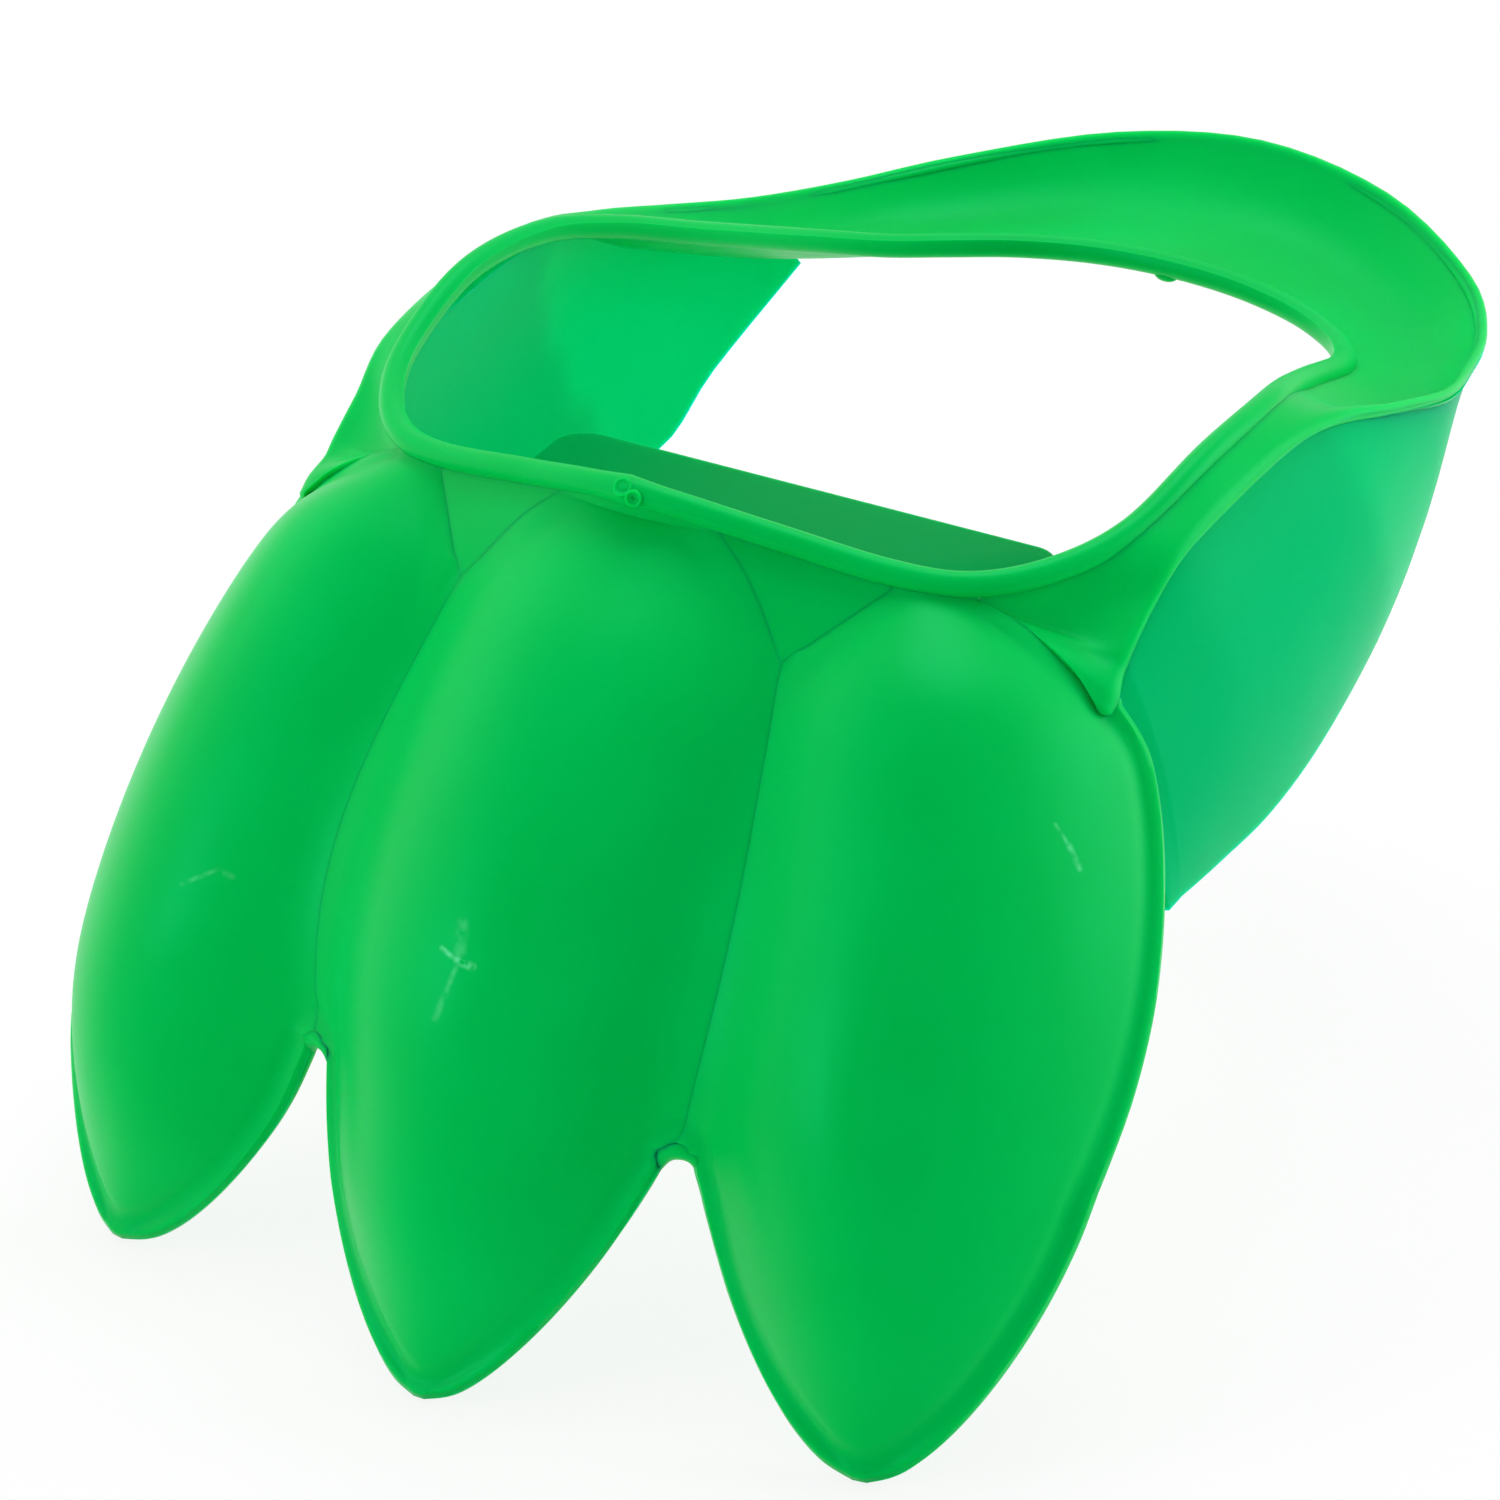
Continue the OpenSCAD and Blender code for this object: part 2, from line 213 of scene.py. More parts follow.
class Shape:
    """Guide curves of the whole scoop, worked out from its sizes."""

    arch_steps, valley_steps, free_steps = 4, 7, 8
    valley_drop, notch_drop, rim_h = 22, 95, 141
    valley_x, notch_x, valley_reach, notch_reach, valley_bow = 32, 36.5, 3, 40, 4.2
    tip_x, tip_reach, outer_tip_reach, edge_x = 76, 63, 46, 101
    # The free edges stop at this share of the way to the point in which they would meet
    tip_stop = 0.97
    crown_rim, crown_top, fan_y = 2, 17, 145
    # Forward lean of the front wall, in degrees, at shares of the way from the valleys' tops to the notches
    leans = ((1, 0), (0.6, 22), (0.25, 39), (0.1, 42), (0, 30))
    # Share of a claw's half width that bends into the valley, at its upper end and at the notch
    crease, valley_soft = 0.03, 0.28
    # Length over which the lines down a claw are softened, and the share of the half width, from the edge,
    # over which that sets in
    soften, soften_from = 8, 0.4
    # Round of the notches between the claws, the length in which it runs out, and the rows of a claw by which
    # it starts above the guides' notch
    notch_r, notch_fade, notch_lead = 2.3, 12, 3
    # Round of the web's tip, and the distance at which it has run out, in radii
    toe_r, toe_fade = 1.9, 6
    # Lap of a claw's side over the valley's line, the length above the notch in which it grows, the share of
    # it by which the side is bent down, and the reach of that bend, in laps
    lap, lap_grow, lap_dip, lap_reach = 2.2, 5, 0.5, 3
    # Way by which an outer claw's own side passes behind the web's tip, and the shares of it, by guide
    # station from that tip
    behind_web = at(1.3, 4.1, -0.1)
    behind_shares = {-2: 0.35, -1: 0.8, 0: 1.15, 1: 0.95, 2: 0.5, 3: 0.15}
    cheek_drop = 60
    # Blunt fold down a cheek: its place at the upper and the lower end, its height and its reach to each side
    fold_top_y, fold_low_y, fold_top_z, fold_drop = 92, 110, -5, 47
    fold_h, fold_reach = 1.6, 26
    shelf_drop, shelf_back, shelf_w, shelf_r, shelf_lean = 20, 57, 101, 6, 5

    def __init__(self):
        s = sizes()
        self.half_w = s.opening_w / MM / 2
        self.length = s.opening_l / MM
        self.side_x = self.half_w + s.band_w / MM
        self.strap_w = s.strap_w / MM
        self.crown = s.crown / MM
        self.make_claws()
        self.make_collar()

    def rim_point(self, x, y, z):
        return at(x * self.half_w, y * self.length, z)

    def side_point(self, x, y, z):
        return at(self.side_x + x, y * self.length, z)

    def lean(self, z):
        """Forward lean of the front wall, in degrees, at a height under the rim."""
        span = self.notch_drop - self.valley_drop
        table = [(-self.valley_drop - share * span, angle) for share, angle in self.leans]
        table.append((-self.valley_drop / 2, 0))
        if z <= table[0][0] or z >= table[-1][0]:
            return 0
        for (z0, a0), (z1, a1) in zip(table, table[1:]):
            if z <= z1:
                return mix(a0, a1, (z - z0) / (z1 - z0))

    def outward(self, p):
        r = Vector((p.x, p.y - self.fan_y, 0)).normalized()
        a = math.radians(self.lean(p.z))
        return Vector((r.x * math.cos(a), r.y * math.cos(a), math.sin(a)))

    def valley(self, t):
        return at(mix(self.valley_x, self.notch_x, t) + self.valley_bow * math.sin(math.pi * t),
                  -mix(self.valley_reach, self.notch_reach, math.sin(math.pi / 2 * t)),
                  -mix(self.valley_drop, self.notch_drop, t))

    def toe_round(self, way):
        """Width that is added to the web's pointed tip at a distance from it, so that it ends in a round."""
        r = self.toe_r
        return round_end(r, way) * (1 - ramp(way, r, self.toe_fade * r))

    def make_claws(self):
        rim = self.rim_point
        self.wedge = self.side_point(-1.5, 0.1034, -27)
        drop, low, x = self.notch_drop, -self.rim_h, self.tip_x
        top = at(self.valley_x, -self.valley_reach, -self.valley_drop)
        notch = at(self.notch_x, -self.notch_reach, -drop)
        edge_low = at(self.edge_x, -15, -drop)
        middle_tip = at(0, -self.tip_reach, low)
        outer_tip = at(x, -self.outer_tip_reach, low)
        valley = [self.valley(i / self.valley_steps) for i in range(self.valley_steps + 1)]
        n = self.arch_steps
        self.middle_arch = cubic_steps(
            [rim(0.213, 0.017, -5), rim(0.32, 0.006, -10), rim(0.373, -0.003, -18), top], n)
        self.inner_arch = cubic_steps(
            [rim(0.6, 0.0575, -10.7), rim(0.533, 0.029, -15), rim(0.48, 0, -19), top], n)
        self.outer_arch = cubic_steps(
            [rim(0.773, 0.092, -11.5), rim(0.893, 0.109, -15), rim(1, 0.115, -21), self.wedge], n)
        outer_edge = cubic_steps(
            [self.wedge, self.side_point(10.5, 0.138, -42), at(self.edge_x + 2, 10, -66), edge_low],
            self.valley_steps)
        m, stop = self.free_steps, self.tip_stop
        middle_free = cubic_steps(
            [notch, at(28, -49, -drop - 20), at(12, -self.tip_reach, low), middle_tip], m, stop)
        inner_free = cubic_steps(
            [notch, at(44, -42, -drop - 17), at(x - 16, -48, low), outer_tip], m, stop)
        outer_free = cubic_steps(
            [edge_low, at(self.edge_x - 1.5, -24, -drop - 18), at(x + 12, -43, low), outer_tip], m, stop)
        self.middle_edge = self.middle_arch + valley[1:] + middle_free[1:]
        self.inner_edge = self.inner_arch + valley[1:] + inner_free[1:]
        outer_side = self.outer_arch + outer_edge[1:] + outer_free[1:]
        self.claw_side = [p + self.behind_web * self.behind_shares.get(i - n, 0)
                          for i, p in enumerate(outer_side)]

    def rises(self, left, right):
        """Crown height at each station of a claw."""
        at_notch = self.arch_steps + self.valley_steps
        notch_width = (right[at_notch] - left[at_notch]).length
        out = []
        for i, (a, b) in enumerate(zip(left, right)):
            if i <= self.arch_steps:
                out.append(mix(self.crown_rim, self.crown_top, i / self.arch_steps))
            elif i <= at_notch:
                out.append(mix(self.crown_top, self.crown, (i - self.arch_steps) / self.valley_steps))
            else:
                out.append(self.crown * ((b - a).length / notch_width) ** 2)
        return out

    def behind_fold(self, p):
        """Distance of a point behind the blunt fold that runs slantwise down a cheek."""
        return p.y - mix(self.fold_top_y, self.fold_low_y, (self.fold_top_z - p.z) / self.fold_drop)

    def fold(self, p):
        """Height of that fold."""
        return self.fold_h * max(0, 1 - abs(self.behind_fold(p)) / self.fold_reach)

    def make_collar(self):
        rim, side = self.rim_point, self.side_point
        self.rim_guides = [
            rim(0, 0, 0), rim(0.32, 0.03, -4), rim(0.59, 0.062, -8), rim(0.76, 0.092, -9),
            rim(0.89, 0.15, -7.5), rim(0.973, 0.23, -4), rim(1, 0.345, 2.5), rim(0.98, 0.46, 3.5),
            rim(0.92, 0.552, 0.5), rim(0.833, 0.66, -5.5), rim(0.733, 0.805, -13.5), rim(0.64, 0.885, -17.5),
            rim(0.533, 0.937, -18.7), rim(0.387, 0.974, -18.5), rim(0.2, 0.994, -17.8), rim(0, 1, -17.5)]
        back = self.length + self.strap_w
        outer_guides = [
            side(-0.8, 0.155, -17.5), side(-0.7, 0.1925, -12), side(-0.5, 0.247, -6), side(0, 0.333, -2.5),
            side(-0.1, 0.448, 1), side(0.1, 0.552, 0.5), side(0.3, 0.65, -3), side(-1.5, 0.764, -8),
            side(-7.5, 0.865, -11.2), at(0.81 * self.side_x, self.length - 4, -12.8),
            at(0.65 * self.side_x, self.length + 13, -11), at(0.344 * self.side_x, back - 3.5, -6),
            at(0, back, -3)]
        wedge_outer = cubic_steps(
            [self.wedge, side(-0.5, 0.121, -24), side(-0.8, 0.138, -21), outer_guides[0]], self.arch_steps)
        # Collar's inner and outer edge from the web's tip to the strap's middle, guide beside guide
        self.inner_line = self.outer_arch[::-1] + self.rim_guides[4:]
        self.outer_line = wedge_outer + outer_guides[1:]
        drop, x = self.cheek_drop, self.edge_x
        cheek_guides = [
            at(x - 9, 26, -drop), at(x - 10, 33, -drop - 0.5), at(x - 11.5, 44, -drop - 1),
            side(6.5, 0.345, -drop - 0.5), side(4.5, 0.4425, 2 - drop), side(1, 0.552, 5.5 - drop),
            side(-5.6, 0.687, 7.6 - drop), side(-7.5, 0.776, 18.5 - drop), side(-13, 0.8966, 34 - drop)]
        front = at(x - 8, 20, -drop)
        lead = [mix(front, cheek_guides[0], i / self.arch_steps) for i in range(self.arch_steps + 1)]
        self.cheek_line = lead + cheek_guides[1:]


# Modelling steps

def deselect():
    if bpy.context.object and bpy.context.object.mode != "OBJECT":
        bpy.ops.object.mode_set(mode="OBJECT")
    bpy.ops.object.select_all(action="DESELECT")


def select_only(*objects):
    deselect()
    for obj in objects:
        obj.select_set(True)
    bpy.context.view_layer.objects.active = objects[0]


def placed(p):
    return RIM_PLACE + p * MM


def apply_modifier(obj, kind, **settings):
    select_only(obj)
    modifier = obj.modifiers.new(kind.title(), kind)
    for key, value in settings.items():
        setattr(modifier, key, value)
    bpy.ops.object.modifier_apply(modifier=modifier.name)


def grid(name, rows):
    """A grid drawn over rows of points."""
    deselect()
    bpy.ops.mesh.primitive_grid_add(x_subdivisions=len(rows[0]) - 1, y_subdivisions=len(rows) - 1, size=1)
    obj = bpy.context.object
    obj.name = obj.data.name = name
    for vertex, point in zip(obj.data.vertices, (p for row in rows for p in row)):
        vertex.co = placed(point)
    return obj


def sheet(name, rows, shares=None):
    """A wall over rows of points, thickened inwards. The rows run so that the faces point outwards.
    shares gives the part of the wall's thickness at each point."""
    obj = grid(name, rows)
    settings = {}
    if shares:
        group = obj.vertex_groups.new(name="wall")
        for i, share in enumerate(share for row in shares for share in row):
            group.add([i], share, "REPLACE")
        settings["vertex_group"] = group.name
    apply_modifier(obj, "SOLIDIFY", thickness=sizes().wall, offset=-1.0, use_rim=True,
                   use_even_offset=False, **settings)
    return obj


def tube(name, path, diameter, swells=None):
    """A round bead drawn as a curve with a round bevel, then made a mesh.
    swells gives its thickness at each point as a share of the diameter."""
    deselect()
    bpy.ops.curve.primitive_nurbs_path_add()
    obj = bpy.context.object
    obj.name = name
    curve = obj.data
    curve.splines.clear()
    line = curve.splines.new("POLY")
    line.points.add(len(path) - 1)
    for i, (point, p) in enumerate(zip(line.points, path)):
        point.co = (*placed(p), 1)
        point.radius = swells[i] if swells else 1
    curve.dimensions = "3D"
    curve.twist_mode = "MINIMUM"
    curve.bevel_depth = diameter / 2
    curve.bevel_resolution = 5
    curve.use_fill_caps = True
    bpy.ops.object.convert(target="MESH")
    obj = bpy.context.object
    obj.name = obj.data.name = name
    return obj


def ring(name, sections):
    """A closed bead over closed sections: a grid bent round until its sides meet, then welded."""
    weld = 0.00001
    obj = grid(name, [loop + loop[:1] for loop in sections + sections[:1]])
    bpy.ops.object.mode_set(mode="EDIT")
    bpy.ops.mesh.select_all(action="SELECT")
    bpy.ops.mesh.remove_doubles(threshold=weld)
    bpy.ops.mesh.normals_make_consistent(inside=False)
    bpy.ops.object.mode_set(mode="OBJECT")
    return obj


# Gate marks: the stub's sides and its height in metres, the width of a ring in its end and of its rounded
# edges as shares of its diameter, and the angle in degrees from which an edge is rounded
GATE_SIDES, GATE_H, GATE_RING, GATE_EDGE, GATE_ANGLE = 28, 0.0014, 0.11, 0.05, 50


def gate_mark(place, way, diameter, dimple):
    """The round stub that is left where the plastic entered the mould, with a sunk middle."""
    deselect()
    turn = way.to_track_quat("Z", "Y")
    bpy.ops.mesh.primitive_cylinder_add(vertices=GATE_SIDES, radius=diameter / 2, depth=GATE_H)
    obj = bpy.context.object
    bpy.ops.object.mode_set(mode="EDIT")
    bpy.ops.mesh.select_mode(type="FACE")
    for sink in (0.0, -dimple, 0.0, -dimple * 1.5):
        bpy.ops.mesh.select_all(action="DESELECT")
        bpy.ops.object.mode_set(mode="OBJECT")
        obj.data.polygons[top_face(obj)].select = True
        bpy.ops.object.mode_set(mode="EDIT")
        bpy.ops.mesh.inset(thickness=diameter * GATE_RING)
        bpy.ops.transform.translate(value=(0, 0, sink))
    bpy.ops.object.mode_set(mode="OBJECT")
    obj.matrix_world = Matrix.Translation(placed(place)) @ turn.to_matrix().to_4x4()
    select_only(obj)
    bpy.ops.object.transform_apply(location=True, rotation=True, scale=True)
    apply_modifier(obj, "BEVEL", width=diameter * GATE_EDGE, segments=3, limit_method="ANGLE",
                   angle_limit=math.radians(GATE_ANGLE))
    return obj


def top_face(obj):
    """The face over the middle of a stub that stands upright: the one whose centre is nearest its axis."""
    upper = [f for f in obj.data.polygons if f.normal.z > 0.9]
    return min(upper, key=lambda f: f.center.x ** 2 + f.center.y ** 2).index


def bump_ball(place, radii):
    """A small rounded lump."""
    deselect()
    bpy.ops.mesh.primitive_uv_sphere_add(segments=24, ring_count=14, radius=1)
    obj = bpy.context.object
    obj.scale = [r * MM for r in radii]
    obj.location = placed(place)
    bpy.ops.object.transform_apply(location=True, rotation=True, scale=True)
    return obj


def join(*objects):
    select_only(*objects)
    bpy.ops.object.join()
    return bpy.context.object


def add_solid(obj, other):
    """Unites a small solid with a piece and takes it away."""
    apply_modifier(obj, "BOOLEAN", operation="UNION", solver="EXACT", object=other)
    bpy.data.objects.remove(other, do_unlink=True)


def finish_piece(obj, *nodes, tone="body"):
    """Shades a piece, gives it its plastic and puts it in the place of its CAD nodes."""
    sharp = 40
    select_only(obj)
    bpy.ops.object.shade_smooth_by_angle(angle=math.radians(sharp))
    obj.data.materials.clear()
    obj.data.materials.append(polypropylene(tone))
    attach(obj, BODY)
    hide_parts(*nodes)


# Material

def add_node(tree, kind, links=(), values=(), **settings):
    """Adds a node, sets its properties and its inputs' values, and links inputs to other sockets."""
    node = tree.nodes.new(kind)
    for key, value in settings.items():
        setattr(node, key, value)
    for socket, value in values:
        node.inputs[socket].default_value = value
    for socket, source in links:
        tree.links.new(source, node.inputs[socket])
    return node


# Tones of the one plastic: each one's material, its dye, its specular level, and how far light spreads in it,
# in metres. The thin walls and the shelf are duller, and the shelf's dye is darker as painted shade.
TONES = {
    "body": ("moulded green polypropylene", "body", 0.4, 0.0015),
    "strap": ("moulded green polypropylene, strap", "body", 0.4, 0.003),
    "thin": ("moulded green polypropylene, thin wall", "thin", 0.05, 0.009),
    "inside": ("moulded green polypropylene, shelf", "inside", 0.05, 0.004),
}

# Sizes of the patterns, in metres: the dye's clouds, the satin's grain and its height, the scuffs' scratches
CLOUD, GRAIN, GRAIN_H, SCRATCH = 0.040, 0.0005, 0.0002, 0.002

# Scuffs on the claws, from handling: each stroke's two ends, its half width in millimetres and its strength
SCUFFS = (
    ((-63.5, -41.4, -72.2), (-57.5, -39.1, -68.9), 0.7, 0.6),
    ((-57.5, -39.1, -68.9), (-54.5, -38.7, -69.6), 1.0, 0.35),
    ((-1.0, -53.5, -62.1), (2.3, -54.0, -63.2), 0.8, 1.3),
    ((2.3, -54.0, -63.2), (5.4, -53.7, -63.7), 1.1, 1.6),
    ((1.8, -51.5, -58.0), (2.7, -53.7, -62.8), 1.8, 0.3),
    ((2.7, -53.7, -62.8), (1.8, -56.0, -67.9), 0.9, 0.5),
    ((1.8, -56.0, -67.9), (0.6, -57.7, -72.7), 1.1, 0.4),
    ((83.6, -0.7, -38.6), (85.9, -0.1, -42.2), 0.6, 0.5),
    ((85.9, -0.1, -42.2), (87.8, 0.0, -45.6), 0.9, 0.6),
)


def scuffed(tree, place, colour):
    """Mixes the scuffs' pale colour into the dye's. A stroke fades with the distance from its line, and the
    scratches in it, about 2 mm long, break it up."""
    scratches = add_node(tree, "ShaderNodeTexNoise", [("Vector", place.outputs["Object"])],
                         [("Scale", 1 / SCRATCH)])
    scratches = add_node(tree, "ShaderNodeMapRange", [("Value", scratches.outputs["Fac"])],
                         [("From Min", 0.3), ("From Max", 0.65)])
    total = None
    for start, end, half_width, strength in SCUFFS:
        a, b = placed(Vector(start)), placed(Vector(end))
        way = add_node(tree, "ShaderNodeVectorMath", [(0, place.outputs["Object"])], [(1, a)],
                       operation="SUBTRACT")
        share = add_node(tree, "ShaderNodeVectorMath", [(0, way.outputs[0])],
                         [(1, (b - a) / (b - a).length_squared)], operation="DOT_PRODUCT")
        share = add_node(tree, "ShaderNodeClamp", [("Value", share.outputs["Value"])])
        foot = add_node(tree, "ShaderNodeVectorMath", [("Scale", share.outputs[0])], [(0, b - a)],
                        operation="SCALE")
        away = add_node(tree, "ShaderNodeVectorMath", [(0, way.outputs[0]), (1, foot.outputs[0])],
                        operation="DISTANCE")
        mask = add_node(tree, "ShaderNodeMapRange", [("Value", away.outputs["Value"])],
                        [("From Min", 0.0), ("From Max", half_width * MM), ("To Min", strength),
                         ("To Max", 0.0)], interpolation_type="SMOOTHSTEP")
        total = mask if total is None else add_node(
            tree, "ShaderNodeMath", [(0, mask.outputs[0]), (1, total.outputs[0])], operation="MAXIMUM")
    broken = add_node(tree, "ShaderNodeMath", [(0, total.outputs[0]), (1, scratches.outputs[0])],
                      operation="MULTIPLY")
    mixed = add_node(tree, "ShaderNodeMix", [("Factor", broken.outputs[0]), (6, colour)],
                     [(7, (*colours().scuff, 1))], data_type="RGBA")
    return mixed.outputs[2]


def polypropylene(tone):
    """Dyed polypropylene, injection moulded: satin, and translucent, so light that falls on one side
    of a wall glows through on the other."""
    name, dye, level, spread = TONES[tone]
    if name in bpy.data.materials:
        return bpy.data.materials[name]
    material = bpy.data.materials.new(name)
    material.use_nodes = True
    tree = material.node_tree
    tree.nodes.clear()
    place = add_node(tree, "ShaderNodeTexCoord")
    # Flow of the dye through the mould: soft clouds
    clouds = add_node(tree, "ShaderNodeTexNoise", [("Vector", place.outputs["Object"])],
                      [("Scale", 1 / CLOUD), ("Detail", 2.0), ("Roughness", 0.5)])
    blend = add_node(tree, "ShaderNodeMix", [("Factor", clouds.outputs["Fac"])],
                     [(6, (*getattr(colours(), dye + "_deep"), 1)), (7, (*getattr(colours(), dye), 1))],
                     data_type="RGBA")
    # Satin of the mould's wall: a grain, coarser than the real one so that it shows
    grain = add_node(tree, "ShaderNodeTexNoise", [("Vector", place.outputs["Object"])],
                     [("Scale", 1 / GRAIN), ("Detail", 2.0)])
    bump = add_node(tree, "ShaderNodeBump", [("Height", grain.outputs["Fac"])],
                    [("Strength", 0.05), ("Distance", GRAIN_H)])
    gloss = add_node(tree, "ShaderNodeMapRange", [("Value", clouds.outputs["Fac"])],
                     [("To Min", 0.34), ("To Max", 0.42)])
    colour = scuffed(tree, place, blend.outputs[2]) if tone == "body" else blend.outputs[2]
    shader = add_node(
        tree, "ShaderNodeBsdfPrincipled",
        [("Base Color", colour), ("Roughness", gloss.outputs[0]), ("Normal", bump.outputs["Normal"])],
        [("IOR", 1.35), ("Specular IOR Level", level), ("Specular Tint", (0.0, 1.0, 0.75, 1)),
         ("Subsurface Weight", 1.0), ("Subsurface Radius", (0.1, 1.0, 0.6)), ("Subsurface Scale", spread)])
    add_node(tree, "ShaderNodeOutputMaterial", [("Surface", shader.outputs[0])])
    return material


# Pieces

# Rolled lip along the claws' free edges, in millimetres: its whole width, the height, distance from the edge
# and half width of its bead and of the groove behind it, and how far inside the edge its closing round lies
LIP_W = 6.5
LIP_H, LIP_AT, LIP_HALF = 0.95, 1.3, 1.15
GROOVE_H, GROOVE_AT, GROOVE_HALF = 0.3, 4.4, 1.5
LIP_INSET = 0.9


def crown_profile(s, soft):
    """Height of a claw's section at a share s of its half width, 1 at the crown and 0 at the edge.
    The last share `soft` before the edge bends into the valley."""
    end_slope = 0.1
    if soft <= 0:
        return 1 - s * s
    start = 1 - soft
    slope = 2 * start
    low = 1 - start * start - (slope + end_slope) * soft / 2
    if s <= start:
        f = 1 - s * s
    else:
        x = s - start
        f = 1 - start * start - slope * x + (slope - end_slope) * x * x / (2 * soft)
    return (f - low) / (1 - low)


def claw_stations(shape):
    """Where a claw's rows lie, counted in guide stations: closer together on both sides of the notch."""
    per, notch = 8, shape.arch_steps + shape.valley_steps
    out = []
    for j in range(notch + shape.free_steps):
        for k in range(per):
            t = k / per
            out.append(j + (1 - (1 - t) ** 2 if j == notch - 1 else t * t if j == notch else t))
    return out + [notch + shape.free_steps]


def notch_top(shape):
    """Row of a claw at which the notch beside it starts."""
    return claw_stations(shape).index(shape.arch_steps + shape.valley_steps) - shape.notch_lead


def surface_normals(rows):
    """Outward normal at each point of a claw's face. At the tip, where the edges run level as the rows do,
    the middle's normal holds for the whole row."""
    level_from, level_to = 10, 4
    out = []
    last_i, last_k = len(rows) - 1, len(rows[0]) - 1
    for i in range(last_i + 1):
        line = []
        for k in range(last_k + 1):
            down = rows[min(i + 1, last_i)][k] - rows[max(i - 1, 0)][k]
            side = rows[i][min(k + 1, last_k)] - rows[i][max(k - 1, 0)]
            line.append(down.cross(side).normalized())
        level, middle = ramp(i, last_i - level_from, last_i - level_to), line[last_k // 2]
        out.append([mix(n, middle, level).normalized() for n in line])
    return out


def notch_spread(shape, way):
    """How far a free edge stands back from the valley's line at a distance below the notch's top: a round,
    which runs out further down."""
    return round_end(shape.notch_r, way) * math.exp(-max(0, way - shape.notch_r) / shape.notch_fade)


def lap_at(shape, i, u, way):
    """How far a row of a claw laps over the valley's line; the lap ends at the notch."""
    if i >= notch_top(shape):
        return 0
    return shape.lap * ramp(u, shape.arch_steps, shape.arch_steps + 1) * ramp(way, 0, shape.lap_grow)


def side_place(shape, i, p, lap, way, inward):
    """Where a claw's side lies. Below the notch's top it stands back from the valley's line; above, it laps
    over that line."""
    if i >= notch_top(shape):
        return p + inward * notch_spread(shape, way)
    out = shape.outward(p)
    level = at(-out.y, out.x, 0).normalized()
    return p - level * math.copysign(lap, level.dot(inward))


def lapped(shape, row, laps):
    """A row with its lapping ends bent down, so that they lie under the next claw's face."""
    for lap, edge in zip(laps, (row[0], row[-1])):
        if lap:
            out, reach = shape.outward(edge), shape.lap_reach * lap
            row = [p - out * (shape.lap_dip * lap * max(0, 1 - (p - edge).length / reach) ** 2) for p in row]
    return row


def lip(d):
    """Height of the rolled lip at a distance from the free edge: a groove and then a soft bead."""
    bead = LIP_H * math.exp(-((d - LIP_AT) / LIP_HALF) ** 2)
    return bead - GROOVE_H * math.exp(-((d - GROOVE_AT) / GROOVE_HALF) ** 2)


def claw_columns(half):
    """Shares of the half width at which a claw's points lie, closer together in the lip."""
    plain, fine, most = 15, 11, 0.5
    lip_share = min(most, LIP_W / half)
    inner = [k / plain * (1 - lip_share) for k in range(plain)]
    right = inner + [1 - lip_share + k / fine * lip_share for k in range(fine + 1)]
    return [-s for s in right[:0:-1]] + right


def soften_weights(lengths, reach):
    """For each place along a line, the neighbours that it is averaged with: place, share and whether
    the neighbour is one mirrored at an end, so that both ends stay."""
    least = 0.0001
    last, total = len(lengths) - 1, lengths[-1]
    steps = [(lengths[min(i + 1, last)] - lengths[max(i - 1, 0)]) / 2 for i in range(last + 1)]
    out = []
    for here in lengths:
        near = []
        for j, there in enumerate(lengths):
            for end, place in ((None, there), (0, -there), (last, 2 * total - there)):
                share = steps[j] * math.exp(-((place - here) / reach) ** 2 / 2)
                if share > least:
                    near.append((j, end, share))
        whole = sum(share for _, _, share in near)
        out.append([(j, end, share / whole) for j, end, share in near])
    return out


def softened(line, weights):
    out = []
    for near in weights:
        p = Vector((0, 0, 0))
        for j, end, share in near:
            p += (line[j] if end is None else line[end] * 2 - line[j]) * share
        out.append(p)
    return out


